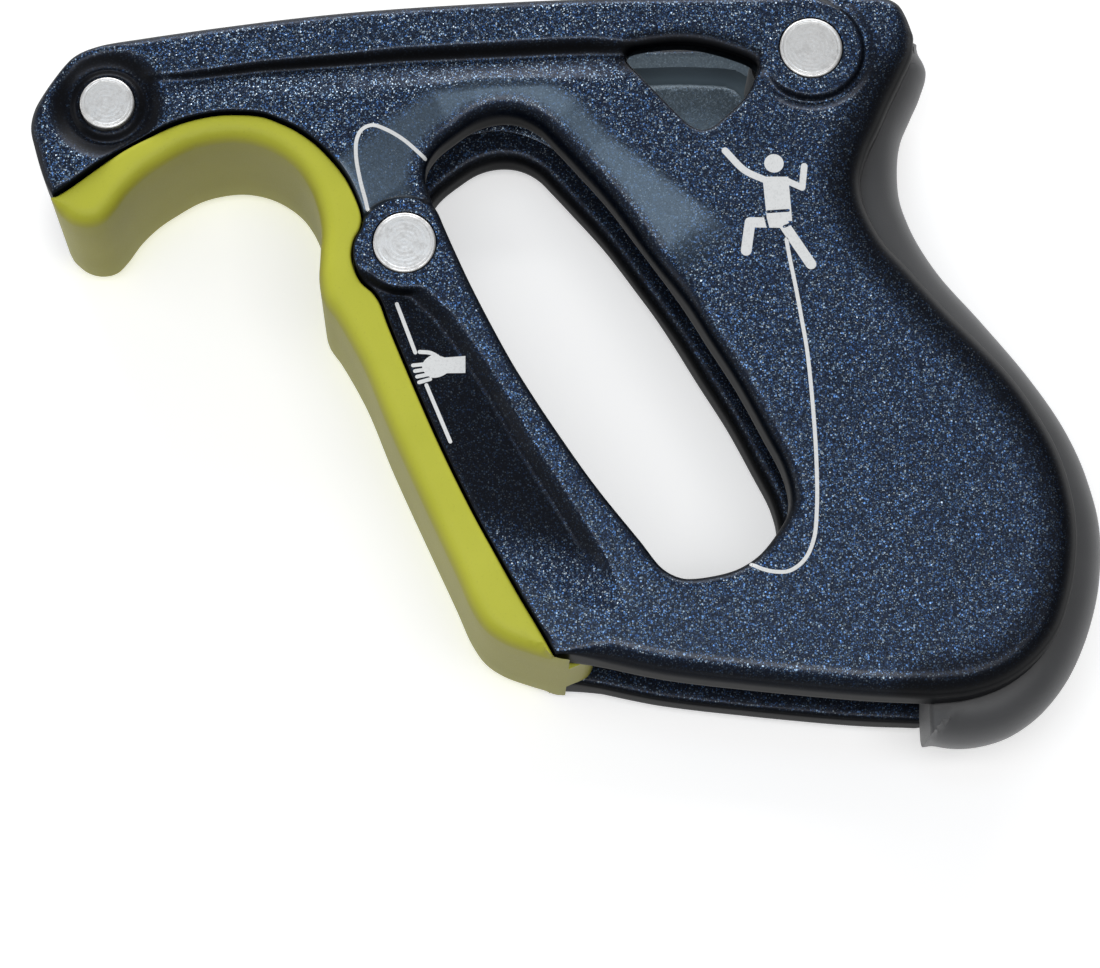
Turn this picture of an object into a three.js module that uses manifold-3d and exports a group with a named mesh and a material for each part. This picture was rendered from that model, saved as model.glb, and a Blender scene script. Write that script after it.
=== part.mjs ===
// Assisted-braking belay device: two forged side plates held apart by a moulded hook
// bumper, a grip core with a rubber grip pad, and three spacers on three rivets.
// Millimetres, +Z up. The device lies flat on its rear side plate.
import * as THREE from 'three';
import { mergeVertices } from 'three/addons/utils/BufferGeometryUtils.js';
import Module from 'manifold-3d';

const wasm = await Module();
wasm.setup();

// ---------------------------------------------------------------- driving dimensions
const THICKNESS = 28;          // over both plates
const PLATE = 7.6;             // one side plate
const GAP = 0.3;               // assembly clearance between pieces
const OUTER_ROUND = 1.8;       // rounding of a plate's outer face
const INNER_ROUND = 0.9;       // rounding of a plate's inner face, where the rope runs
const BUMPER_SIDE = 1.1;       // bumper set back from each outer face
const BUMPER_ROUND = 2.2;      // rounding of the bumper's free edges
const PAD_SWELL = 3.0;         // rounding of the rubber's crown
const SHAFT_R = 3.1;           // rivet shafts
const HEAD_T = 1.7;            // rivet head thickness
const HEAD_SINK = 0.15;        // heads sit this far below the outer face
const SPACER_R = 5.0;          // plain spacer tubes
const POST_R = 6.0;            // spacer on the centre rivet, which the rope bears on
const DOWEL_R = 1.5;           // locating dowels
const DOWEL_DEPTH = 3.2;       // blind depth in each plate
const HOLLOW_DEPTH = 3.8;      // hollow in each plate's inner face
const DOWEL_BOSS = 3.6;        // pads left standing in the hollow round the dowels
const RIVETS = {
  hook: { x: -60.1, y: 49.8, head: 3.7 },
  centre: { x: -19.7, y: 30.0, head: 4.25 },
  heel: { x: 35.7, y: 58.0, head: 4.3 },
};
const DOWELS = {
  bumper_dowel: [1.4, -19.6],
  grip_dowel_upper: [52.6, 13.8],
  grip_dowel_lower: [57.5, -24.5],
};

// ---------------------------------------------------------------- outlines in the plate plane
const PLATE_TOP = [[-67.2, 36.9], [-68.2, 38.7], [-69.8, 43.7], [-70.4, 46.5], [-70.0, 49.0], [-69.0, 51.1],
  [-66.2, 55.4], [-64.6, 57.0], [-61.7, 58.3], [-55.4, 59.5], [-35.6, 62.4], [-21.1, 63.9], [4.2, 65.4], [19.0, 65.7],
  [32.3, 65.9], [42.1, 66.1], [46.0, 65.9], [47.9, 65.0], [48.9, 63.6], [50.2, 60.7]];
const PLATE_GRIP = [[50.2, 60.7], [49.9, 58.0], [48.3, 54.3], [46.7, 51.0], [45.1, 47.4], [43.5, 43.9], [42.4, 40.0],
  [42.6, 37.1], [43.6, 34.2], [45.4, 30.9], [48.1, 27.7], [53.1, 21.8], [61.3, 12.8], [64.6, 8.0], [67.7, 2.0],
  [69.3, -3.6], [69.9, -8.7], [69.6, -13.5], [68.6, -18.3], [66.8, -23.0], [63.8, -26.8], [60.0, -29.6], [55.3, -31.3],
  [50.1, -31.9]];
const PLATE_FOOT = [[50.1, -31.9], [41.6, -31.5], [31.5, -30.6], [24.9, -29.9], [19.6, -29.3], [14.6, -28.6],
  [10.6, -27.8], [6.5, -26.9], [2.5, -26.3], [0.3, -26.2]];
const PLATE_HOOK = [[0.3, -26.2], [-1.5, -22.9], [-4.0, -18.6], [-7.4, -12.4], [-10.3, -7.0], [-15.1, 3.1],
  [-21.6, 18.7], [-22.8, 22.0], [-23.8, 23.5], [-25.3, 24.9], [-26.2, 26.7], [-26.6, 28.6], [-26.3, 30.6], [-25.5, 32.2],
  [-25.3, 34.0], [-26.2, 36.9], [-27.7, 39.9], [-29.9, 42.7], [-31.9, 44.7], [-34.4, 46.5], [-36.6, 47.6], [-39.0, 48.5],
  [-42.0, 48.8], [-45.2, 48.7], [-48.7, 48.0], [-51.5, 47.0], [-54.7, 45.4], [-58.2, 43.4], [-66.1, 37.5], [-67.2, 36.9]];
const WINDOW = [[-14.4, 32.6], [-10.9, 24.6], [-5.9, 14.8], [-3.7, 11.0], [0.2, 4.8], [5.7, -3.3], [11.6, -10.9],
  [14.6, -14.7], [16.9, -15.9], [18.9, -16.0], [23.5, -15.1], [25.8, -14.0], [27.6, -12.6], [29.4, -10.4], [31.2, -7.4],
  [31.7, -4.9], [30.9, -1.0], [28.4, 4.2], [25.0, 10.8], [21.2, 17.1], [17.9, 22.6], [12.2, 30.8], [7.9, 36.8],
  [3.4, 42.1], [0.9, 44.9], [-1.3, 47.2], [-3.6, 48.5], [-5.7, 48.9], [-7.9, 48.7], [-10.3, 47.8], [-12.9, 46.0],
  [-15.4, 43.8], [-16.7, 41.6], [-16.9, 39.4], [-16.2, 37.0], [-15.2, 34.6]];
const KEYHOLE = [[10.9, 57.6], [14.4, 58.5], [19.2, 58.7], [23.5, 57.8], [27.6, 56.1], [28.3, 55.2], [27.8, 53.4],
  [26.5, 51.0], [23.6, 48.1], [22.0, 46.8], [20.6, 46.4], [19.1, 47.0], [17.4, 48.6], [15.0, 51.2], [12.0, 54.6],
  [10.6, 56.6]];
const RIB_GROOVE = [[-52.6, 53.4], [-49.0, 54.0], [-42.8, 54.6], [-31.3, 55.6], [-20.0, 56.3], [-11.6, 57.2],
  [-4.1, 58.7], [1.4, 59.9], [6.0, 60.2], [8.4, 59.2], [8.0, 57.6], [3.0, 56.6], [-2.6, 55.3], [-12.0, 53.9],
  [-20.0, 53.5], [-31.3, 52.9], [-42.8, 52.1], [-50.0, 51.9], [-52.4, 52.3]];
const POCKET = [[-20.6, 19.4], [-18.6, 21.2], [-15.6, 20.6], [-12.4, 16.4], [-8.0, 8.2], [-3.6, 0.6], [0.8, -5.2],
  [1.2, -7.4], [-0.8, -8.6], [-5.2, -8.6], [-8.4, -6.4], [-12.6, 2.4], [-17.0, 12.4]];
// hollow in the inner face of each plate: round the palm end, the triangular hole and over the window
const HOLLOW = [[7.5, -22.0], [20.0, -25.2], [35.0, -27.3], [50.0, -28.4], [57.2, -26.6], [62.4, -22.6], [65.2, -17.0],
  [66.4, -9.0], [65.4, -2.5], [62.2, 5.0], [57.0, 12.2], [50.0, 20.4], [43.6, 28.0], [40.0, 34.6], [39.3, 40.4],
  [41.2, 45.4], [39.4, 48.4], [35.0, 49.2], [31.4, 51.6], [30.0, 55.4], [29.6, 59.4], [27.6, 62.0], [22.0, 62.8],
  [12.0, 62.6], [4.0, 62.2], [-4.0, 61.6], [-12.0, 61.0], [-22.0, 59.8], [-25.2, 57.4], [-24.4, 53.4], [-18.0, 51.2],
  [-11.0, 52.4], [-5.7, 52.9], [0.5, 50.4], [6.2, 45.0], [14.8, 34.4], [20.6, 26.2], [28.0, 14.2], [34.0, 2.4],
  [35.2, -4.8], [33.6, -10.6], [29.6, -16.4], [22.5, -18.8], [17.0, -19.8], [11.5, -17.8], [8.4, -17.0], [6.4, -19.2]];
// bumper: free wall from the hook tip round the thumb hook and down the back
const BUMPER_WALL = [[-67.5, 36.7], [-66.5, 34.9], [-64.7, 33.4], [-62.6, 32.9], [-60.6, 33.4], [-59.0, 35.1],
  [-57.3, 37.6], [-55.0, 40.0], [-52.4, 41.9], [-49.0, 43.9], [-46.0, 44.8], [-42.8, 45.1], [-39.5, 44.5], [-36.8, 43.2],
  [-34.4, 41.2], [-32.6, 38.4], [-31.5, 35.4], [-31.0, 32.4], [-31.1, 29.0], [-31.2, 25.5], [-30.6, 22.5], [-28.8, 19.8],
  [-25.3, 13.4], [-21.6, 4.3], [-17.0, -6.0], [-12.8, -15.2], [-10.6, -20.2], [-8.8, -22.8], [-6.4, -24.5], [-3.0, -25.8],
  [0.6, -26.8], [2.2, -26.9]];
// bumper tongue between the plates
const TONGUE_IN = [[2.2, -26.9], [5.4, -25.2], [5.8, -21.6], [4.4, -17.6], [1.2, -13.0], [-4.6, -5.4], [-10.8, 4.6],
  [-15.6, 14.0], [-18.4, 19.6], [-19.6, 23.0], [-22.0, 38.6], [-27.4, 46.2], [-33.6, 50.6], [-40.4, 53.2], [-46.0, 54.2],
  [-50.6, 57.4], [-57.0, 57.6], [-61.4, 56.6], [-64.8, 53.6], [-67.6, 49.4], [-68.4, 46.4], [-67.8, 43.2],
  [-67.3, 40.0], [-67.5, 36.7]];
// rubber grip: outer crown and the edge of the core behind it
const PAD_OUT = [[51.6, 62.3], [53.0, 59.2], [52.2, 56.0], [50.7, 52.6],
  [49.2, 49.0], [48.6, 45.4], [48.7, 40.5], [49.7, 37.0], [51.1, 33.8], [54.0, 29.1], [59.5, 22.5], [65.5, 14.9],
  [69.8, 8.3], [72.2, 3.2], [73.5, -0.8], [74.4, -4.8], [74.7, -8.8], [74.5, -12.2], [73.8, -16.6], [72.0, -22.4],
  [69.4, -27.6], [66.0, -31.8], [62.4, -34.5], [59.6, -35.7], [56.2, -36.4], [53.4, -36.4], [50.2, -35.8]];
const CORE_OUT = [[44.6, 60.8], [45.2, 58.0], [43.6, 53.8], [41.2, 48.8], [38.9, 43.6], [37.9, 39.4], [38.3, 35.6],
  [40.2, 31.4], [43.9, 26.1], [49.6, 19.5], [57.4, 10.6], [61.0, 5.6], [63.8, 0.4], [65.2, -4.4], [65.8, -8.8],
  [65.4, -13.4], [64.4, -17.6], [62.8, -21.2], [60.4, -24.2], [57.2, -26.4], [53.8, -27.6], [50.2, -28.0]];
const CORE_IN = [[50.2, -28.0], [49.2, -27.2], [49.0, -24.6], [50.2, -22.6], [53.4, -20.6], [56.0, -16.6],
  [57.0, -10.6], [56.4, -4.4], [53.4, 1.8], [47.0, 9.4], [39.6, 17.8], [33.6, 26.0], [30.6, 33.4], [30.4, 40.4],
  [32.2, 46.6], [31.6, 49.2], [29.6, 53.6], [28.0, 59.0], [29.6, 61.8], [32.4, 62.6], [41.0, 62.6], [44.0, 62.0], [44.6, 60.8]];

// ---------------------------------------------------------------- helpers
const V = (p) => new THREE.Vector3(p[0], p[1], 0);

function spline(points, closed = false, step = 0.6) {
  const curve = new THREE.CatmullRomCurve3(points.map(V), closed, 'centripetal');
  const n = Math.max(4, Math.round(curve.getLength() / step));
  const out = curve.getSpacedPoints(n).map((p) => [p.x, p.y]);
  if (closed) out.pop();
  return out;
}

function thin(points, tol) {
  // Ramer-Douglas-Peucker on an open run of points
  if (points.length < 3) return points;
  const [a, b] = [points[0], points[points.length - 1]];
  const [dx, dy] = [b[0] - a[0], b[1] - a[1]];
  const L = Math.hypot(dx, dy) || 1e-9;
  let worst = 0, at = 0;
  for (let i = 1; i < points.length - 1; i++) {
    const d = Math.hypot(dx, dy) < 1e-6
      ? Math.hypot(points[i][0] - a[0], points[i][1] - a[1])
      : Math.abs((points[i][0] - a[0]) * dy - (points[i][1] - a[1]) * dx) / L;
    if (d > worst) { worst = d; at = i; }
  }
  if (worst <= tol) return [a, b];
  return [...thin(points.slice(0, at + 1), tol).slice(0, -1), ...thin(points.slice(at), tol)];
}

// closed outline from runs that share their end points
function outline(runs, tol = 0.09, corner = 2.4) {
  const pts = [];
  for (const run of runs) pts.push(...spaced(thin(spline(run), tol), 1.1, corner).slice(0, -1));
  return ccw(pts);
}
function loop(points, tol = 0.07) {
  const dense = spline(points, true);
  const half = Math.floor(dense.length / 2);
  const a = thin(dense.slice(0, half + 1), tol), b = thin([...dense.slice(half), dense[0]], tol);
  return ccw([...spaced(a).slice(0, -1), ...spaced(b).slice(0, -1)]);
}
// drops points that crowd their neighbour or a corner, keeping both ends
function spaced(p, gap = 1.1, corner = 2.4) {
  const out = [p[0]];
  for (let i = 1; i < p.length - 1; i++) {
    const a = out[out.length - 1], z = p[p.length - 1];
    const near = out.length === 1 ? corner : gap;
    if (Math.hypot(p[i][0] - a[0], p[i][1] - a[1]) > near && Math.hypot(p[i][0] - z[0], p[i][1] - z[1]) > corner) out.push(p[i]);
  }
  out.push(p[p.length - 1]);
  return out;
}
function area(p) {
  let s = 0;
  for (let i = 0; i < p.length; i++) {
    const q = p[(i + 1) % p.length];
    s += p[i][0] * q[1] - q[0] * p[i][1];
  }
  return s / 2;
}
function ccw(p) { return area(p) > 0 ? p : p.slice().reverse(); }

// moves each point of a counter-clockwise outline inwards by d (outwards when negative)
function inset(p, d) {
  if (Math.abs(d) < 1e-9) return p.map((q) => q.slice());
  const n = p.length;
  return p.map((q, i) => {
    const a = p[(i - 1 + n) % n], b = p[(i + 1) % n];
    const u = [q[0] - a[0], q[1] - a[1]], v = [b[0] - q[0], b[1] - q[1]];
    const lu = Math.hypot(...u), lv = Math.hypot(...v);
    const nu = [-u[1] / lu, u[0] / lu], nv = [-v[1] / lv, v[0] / lv];
    const m = [nu[0] + nv[0], nu[1] + nv[1]];
    const k = Math.min(1.5, 2 / Math.max(0.2, m[0] * m[0] + m[1] * m[1]) * 1);
    return [q[0] + m[0] * k * d, q[1] + m[1] * k * d];
  });
}

// closed solid from an outline with holes, through rows of [z, inset], lowest first
function prism(outer, holes, rows) {
  const rings = [ccw(outer), ...holes.map((h) => ccw(h))];
  const pos = [], idx = [];
  const base = rings.map(() => []);
  rows.forEach(([z, d]) => rings.forEach((ring, r) => {
    base[r].push(pos.length / 3);
    for (const q of inset(ring, r === 0 ? d : -d)) pos.push(q[0], q[1], z);
  }));
  rings.forEach((ring, r) => {
    const n = ring.length;
    for (let k = 0; k + 1 < rows.length; k++) {
      for (let i = 0; i < n; i++) {
        const j = (i + 1) % n, a = base[r][k], b = base[r][k + 1];
        if (r === 0) idx.push(a + i, a + j, b + j, a + i, b + j, b + i);
        else idx.push(a + i, b + j, a + j, a + i, b + i, b + j);
      }
    }
  });
  const top = rows.length - 1;
  for (const k of [0, top]) {
    const d = rows[k][1];
    const c = inset(rings[0], d).map((q) => new THREE.Vector2(...q));
    const hs = rings.slice(1).map((h) => inset(h, -d).map((q) => new THREE.Vector2(...q)));
    const map = rings.flatMap((ring, r) => ring.map((_, i) => base[r][k] + i));
    for (const f of THREE.ShapeUtils.triangulateShape(c, hs)) {
      const t = f.map((i) => map[i]);
      if (k === 0) t.reverse();
      idx.push(...t);
    }
  }
  const g = new THREE.BufferGeometry();
  g.setAttribute('position', new THREE.Float32BufferAttribute(pos, 3));
  g.setIndex(idx);
  return solid(g);
}

function solid(geometry) {
  let g = geometry.clone();
  for (const name of Object.keys(g.attributes)) if (name !== 'position') g.deleteAttribute(name);
  g = mergeVertices(g, 1e-4);
  return new wasm.Manifold(new wasm.Mesh({
    numProp: 3,
    vertProperties: new Float32Array(g.attributes.position.array),
    triVerts: new Uint32Array(g.index.array),
  }));
}

// turned solid on a vertical axis at x, y; the profile is [radius, z] from low to high
function turned(profile, x, y, segments = 24) {
  const g = new THREE.LatheGeometry(profile.map((p) => new THREE.Vector2(p[0], p[1])), segments);
  g.rotateX(Math.PI / 2);
  g.translate(x, y, 0);
  return solid(g);
}
const rod = (x, y, r, z0, z1, seg = 24) => turned([[0, z0], [r, z0], [r, z1], [0, z1]], x, y, seg);

function rounded(z0, z1, r0, r1, steps = 3) {
  // rows that round the low edge by r0 and the high edge by r1
  const rows = [];
  const n0 = r0 > 0 ? (r0 < 1.2 ? 1 : steps) : 0, n1 = r1 > 0 ? (r1 < 1.2 ? 1 : steps) : 0;
  for (let i = 0; i <= n0; i++) {
    const a = n0 ? (i / n0) * Math.PI / 2 : Math.PI / 2;
    rows.push([z0 + r0 * (1 - Math.cos(a)), r0 * (1 - Math.sin(a))]);
  }
  for (let i = 0; i <= n1; i++) {
    const a = n1 ? (i / n1) * Math.PI / 2 : 0;
    rows.push([z1 - r1 * (1 - Math.sin(a)), r1 * (1 - Math.cos(a))]);
  }
  return rows;
}

function toGeometry(m) {
  const mesh = m.getMesh();
  const g = new THREE.BufferGeometry();
  const n = mesh.vertProperties.length / mesh.numProp;
  const pos = new Float32Array(n * 3);
  for (let i = 0; i < n; i++) for (let k = 0; k < 3; k++) pos[3 * i + k] = mesh.vertProperties[mesh.numProp * i + k];
  g.setAttribute('position', new THREE.BufferAttribute(pos, 3));
  g.setIndex(Array.from(mesh.triVerts));
  return g;
}
function flip(m) {
  // the same solid mirrored through the middle plane between the plates
  const g = toGeometry(m);
  const p = g.attributes.position;
  for (let i = 0; i < p.count; i++) p.setZ(i, THICKNESS - p.getZ(i));
  const ix = Array.from(g.index.array);
  for (let i = 0; i < ix.length; i += 3) [ix[i + 1], ix[i + 2]] = [ix[i + 2], ix[i + 1]];
  g.setIndex(ix);
  return g;
}

// ---------------------------------------------------------------- side plates
const plateLine = outline([PLATE_TOP, PLATE_GRIP, PLATE_FOOT, PLATE_HOOK]);
const Z_IN = THICKNESS - PLATE;            // inner face of the front plate
function sidePlate(holes) {
  let plate = prism(plateLine, holes, rounded(Z_IN, THICKNESS, INNER_ROUND, OUTER_ROUND));
  // relief: groove under the top rib, pocket beside the window, dish round the hook rivet
  plate = plate.subtract(prism(loop(RIB_GROOVE, 0.12), [], [[THICKNESS - 0.9, 0.7], [THICKNESS + 1, 0]]));
  plate = plate.subtract(prism(loop(POCKET, 0.12), [], [[THICKNESS - 1.0, 0.9], [THICKNESS + 1, 0]]));
  {
    const { x, y, head } = RIVETS.hook;
    plate = plate.subtract(turned([[head + 0.6, THICKNESS - 1.1], [head + 2.2, THICKNESS + 0.1],
      [head + 2.2, THICKNESS + 1], [head + 0.6, THICKNESS + 1], [head + 0.6, THICKNESS - 1.1]], x, y, 28));
  }
  {
    const { x, y } = RIVETS.heel;
    plate = plate.subtract(turned([[7.1, THICKNESS - 0.6], [8.2, THICKNESS - 0.6], [8.6, THICKNESS + 0.1],
      [8.6, THICKNESS + 1], [6.9, THICKNESS + 1], [6.9, THICKNESS + 0.1], [7.1, THICKNESS - 0.6]], x, y, 32));
  }
  {
    let hollow = prism(loop(HOLLOW, 0.12), [], [[Z_IN - 1, 0], [Z_IN, 0], [Z_IN + HOLLOW_DEPTH, 0.8]]);
    for (const name of ['grip_dowel_upper', 'grip_dowel_lower']) {
      const [x, y] = DOWELS[name];
      hollow = hollow.subtract(rod(x, y, DOWEL_BOSS, Z_IN - 2, THICKNESS, 20));
    }
    plate = plate.subtract(hollow);
  }
  for (const { x, y, head } of Object.values(RIVETS)) {
    plate = plate.subtract(rod(x, y, SHAFT_R + GAP, Z_IN - 1, THICKNESS + 1));
    plate = plate.subtract(rod(x, y, head + GAP, THICKNESS - HEAD_SINK - HEAD_T - GAP, THICKNESS + 1));
  }
  for (const [x, y] of Object.values(DOWELS)) {
    plate = plate.subtract(rod(x, y, DOWEL_R + GAP, Z_IN - 1, Z_IN + DOWEL_DEPTH + GAP, 12));
  }
  return plate;
}
// the triangular hole is in the front plate only; the rear one is closed behind it
const frontPlate = sidePlate([loop(WINDOW), loop(KEYHOLE, 0.06)]);
const rearPlate = sidePlate([loop(WINDOW)]);

// ---------------------------------------------------------------- rivets and spacers
const Z_LOW = PLATE + GAP, Z_HIGH = THICKNESS - PLATE - GAP;   // room between the plates
function rivet({ x, y, head }) {
  const z0 = HEAD_SINK, z1 = THICKNESS - HEAD_SINK;
  return turned([[0, z0], [head - 0.5, z0], [head, z0 + 0.3], [head, z0 + HEAD_T], [SHAFT_R, z0 + HEAD_T],
    [SHAFT_R, z1 - HEAD_T], [head, z1 - HEAD_T], [head, z1 - 0.3], [head - 0.5, z1], [0, z1]], x, y, 28);
}
function spacer({ x, y }, r) {
  const a = SHAFT_R + GAP;
  return turned([[a, Z_LOW], [r - 0.4, Z_LOW], [r, Z_LOW + 0.4], [r, Z_HIGH - 0.4], [r - 0.4, Z_HIGH], [a, Z_HIGH],
    [a, Z_LOW]], x, y, 28);
}

// ---------------------------------------------------------------- hook bumper
// The outer band lies against the plates' edges; the tongue behind it fills the gap between them.
const plateClear = inset(plateLine, -GAP);
const bumperLine = outline([BUMPER_WALL, TONGUE_IN]);
const bandRows = rounded(BUMPER_SIDE, THICKNESS - BUMPER_SIDE, BUMPER_ROUND, BUMPER_ROUND);
let bumper = prism(bumperLine, [], bandRows);
for (const [z0, z1] of [[-5, Z_LOW], [Z_HIGH, THICKNESS + 5]]) {
  bumper = bumper.subtract(prism(plateClear, [], [[z0, 0], [z1, 0]]));
}
// keep only the piece that holds the band: drop slivers left beyond the plates' top edge
bumper = bumper.subtract(rod(RIVETS.hook.x, RIVETS.hook.y, SPACER_R + GAP, -1, THICKNESS + 1, 28));
bumper = bumper.subtract(rod(RIVETS.centre.x, RIVETS.centre.y, POST_R + GAP, -1, THICKNESS + 1, 32));
{
  const [x, y] = DOWELS.bumper_dowel;
  bumper = bumper.subtract(rod(x, y, DOWEL_R + GAP, -1, THICKNESS + 1, 12));
}
{
  const parts = bumper.decompose().sort((a, b) => b.volume() - a.volume());
  bumper = parts[0];
}

// ---------------------------------------------------------------- grip
const coreLine = outline([CORE_OUT, CORE_IN]);
let core = prism(coreLine, [], rounded(Z_LOW, Z_HIGH, 0.6, 0.6));
core = core.subtract(rod(RIVETS.heel.x, RIVETS.heel.y, SPACER_R + GAP, -1, THICKNESS + 1, 28));
for (const name of ['grip_dowel_upper', 'grip_dowel_lower']) {
  const [x, y] = DOWELS[name];
  core = core.subtract(rod(x, y, DOWEL_R + GAP, -1, THICKNESS + 1, 12));
}
// the pad's blank runs well inside the core's edge, and the core is cut out of it
const padLine = outline([PAD_OUT, [[50.2, -35.8], [50.2, -24.0]], [[50.2, -24.0], [57.0, -18.0], [60.0, -9.0],
  [56.0, 4.0], [45.0, 18.0], [34.0, 32.0], [33.0, 42.0], [38.0, 52.0], [40.6, 60.0]], [[40.6, 60.0], [51.6, 62.3]]], 0.09, 4.6);
let pad = prism(padLine, [], rounded(Z_LOW, Z_HIGH, PAD_SWELL, PAD_SWELL, 3));
pad = pad.subtract(prism(inset(coreLine, -GAP), [], [[0, 0], [THICKNESS, 0]]));
pad = pad.decompose().sort((a, b) => b.volume() - a.volume())[0];

// ---------------------------------------------------------------- scene graph
const MATERIALS = {
  flake_paint: new THREE.MeshStandardMaterial({ color: 0x1b2a45, roughness: 0.32, metalness: 0.75 }),
  lime_polymer: new THREE.MeshStandardMaterial({ color: 0xbcc63f, roughness: 0.55, metalness: 0 }),
  grip_rubber: new THREE.MeshStandardMaterial({ color: 0x2c2d30, roughness: 0.75, metalness: 0 }),
  core_polymer: new THREE.MeshStandardMaterial({ color: 0x17181a, roughness: 0.6, metalness: 0 }),
  rivet_steel: new THREE.MeshStandardMaterial({ color: 0xcfcfce, roughness: 0.3, metalness: 1 }),
  spacer_steel: new THREE.MeshStandardMaterial({ color: 0x9a9b9d, roughness: 0.35, metalness: 1 }),
};

const device = new THREE.Group();
device.name = 'belay_device';
function add(name, geometry, material) {
  const mesh = new THREE.Mesh(geometry, MATERIALS[material]);
  mesh.name = name;
  device.add(mesh);
  return mesh;
}
add('front_side_plate', toGeometry(frontPlate), 'flake_paint');
add('rear_side_plate', flip(rearPlate), 'flake_paint');
add('hook_bumper', toGeometry(bumper), 'lime_polymer');
add('grip_core', toGeometry(core), 'core_polymer');
add('grip_pad', toGeometry(pad), 'grip_rubber');
add('hook_rivet', toGeometry(rivet(RIVETS.hook)), 'rivet_steel');
add('centre_rivet', toGeometry(rivet(RIVETS.centre)), 'rivet_steel');
add('heel_rivet', toGeometry(rivet(RIVETS.heel)), 'rivet_steel');
add('hook_spacer', toGeometry(spacer(RIVETS.hook, SPACER_R)), 'spacer_steel');
add('brake_post', toGeometry(spacer(RIVETS.centre, POST_R)), 'spacer_steel');
add('heel_spacer', toGeometry(spacer(RIVETS.heel, SPACER_R)), 'spacer_steel');
for (const [name, [x, y]] of Object.entries(DOWELS)) {
  const z0 = PLATE - DOWEL_DEPTH, z1 = THICKNESS - PLATE + DOWEL_DEPTH;
  add(name, toGeometry(turned([[0, z0], [DOWEL_R - 0.3, z0], [DOWEL_R, z0 + 0.3], [DOWEL_R, z1 - 0.3],
    [DOWEL_R - 0.3, z1], [0, z1]], x, y, 16)), 'spacer_steel');
}

// the origin is under the middle of the device's box, on the plane it lies on
const box = new THREE.Box3().setFromObject(device);
device.position.set(-(box.min.x + box.max.x) / 2, -(box.min.y + box.max.y) / 2, -box.min.z);

export default device;
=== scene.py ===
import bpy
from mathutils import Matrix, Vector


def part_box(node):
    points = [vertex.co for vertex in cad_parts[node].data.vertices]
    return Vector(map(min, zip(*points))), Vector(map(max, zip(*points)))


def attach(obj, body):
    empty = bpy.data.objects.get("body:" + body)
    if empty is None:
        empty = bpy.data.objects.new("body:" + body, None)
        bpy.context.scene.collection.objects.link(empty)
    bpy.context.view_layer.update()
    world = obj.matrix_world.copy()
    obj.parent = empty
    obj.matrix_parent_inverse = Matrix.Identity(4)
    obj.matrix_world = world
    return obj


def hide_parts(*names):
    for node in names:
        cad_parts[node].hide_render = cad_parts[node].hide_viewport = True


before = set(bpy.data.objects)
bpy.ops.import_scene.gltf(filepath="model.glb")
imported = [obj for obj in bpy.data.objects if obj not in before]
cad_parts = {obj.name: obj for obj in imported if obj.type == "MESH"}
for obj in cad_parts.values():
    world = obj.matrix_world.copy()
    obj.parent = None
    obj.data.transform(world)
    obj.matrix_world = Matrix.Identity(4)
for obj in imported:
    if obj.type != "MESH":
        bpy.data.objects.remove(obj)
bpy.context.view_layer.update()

# Belay device: two forged side plates in flake paint, a moulded hook bumper, a grip core with a
# rubber pad, and three rivets. Outlines are in millimetres in the plate plane, with z from the
# rear outer face (0) to the front outer face (28); put() moves them to the frame, in metres.
import copy
import math
import bmesh
import bpy
import numpy as np
from mathutils import Matrix, Vector
from mathutils.geometry import delaunay_2d_cdt

RIVETS = {"hook": (-60.1, 49.8, 3.7), "centre": (-19.7, 30.0, 4.25), "heel": (35.7, 58.0, 4.3)}
DOWELS = {"bumper_dowel": (1.4, -19.6), "grip_dowel_upper": (52.6, 13.8), "grip_dowel_lower": (57.5, -24.5)}
_lo, _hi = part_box("heel_rivet")
SX = RIVETS["heel"][0] - 500.0 * (_lo[0] + _hi[0])
SY = RIVETS["heel"][1] - 500.0 * (_lo[1] + _hi[1])

THICK, PLATE, GAP = 28.0, 7.6, 0.3
Z_IN = THICK - PLATE                 # inner face of the front plate
MID = THICK / 2
ROOM_TOP = Z_IN - GAP                # top of the pieces between the plates
SHAFT_R, SPACER_R, POST_R, DOWEL_R = 3.1, 5.0, 6.0, 1.5
HOLLOW_DEPTH = 3.8

PLATE_TOP = [(-67.2, 36.9), (-68.2, 38.7), (-69.8, 43.7), (-70.4, 46.5), (-70, 49), (-69, 51.1),
    (-66.2, 55.4), (-64.6, 57), (-61.7, 58.3), (-55.4, 59.5), (-35.6, 62.4), (-21.1, 63.9), (4.2, 65.4),
    (19, 65.7), (32.3, 65.9), (42.1, 66.1), (46, 65.9), (47.9, 65), (48.9, 63.6), (50.2, 60.7)]
PLATE_GRIP = [(50.2, 60.7), (49.9, 58), (48.3, 54.3), (46.7, 51), (45.1, 47.4), (43.5, 43.9), (42.4, 40),
    (42.6, 37.1), (43.6, 34.2), (45.4, 30.9), (48.1, 27.7), (53.1, 21.8), (61.3, 12.8), (64.6, 8),
    (67.7, 2), (69.3, -3.6), (69.9, -8.7), (69.6, -13.5), (68.6, -18.3), (66.8, -23), (63.8, -26.8),
    (60, -29.6), (55.3, -31.3), (50.1, -31.9)]
PLATE_FOOT = [(50.1, -31.9), (41.6, -31.5), (31.5, -30.6), (24.9, -29.9), (19.6, -29.3), (14.6, -28.6),
    (10.6, -27.8), (6.5, -26.9), (2.5, -26.3), (0.3, -26.2)]
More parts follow.
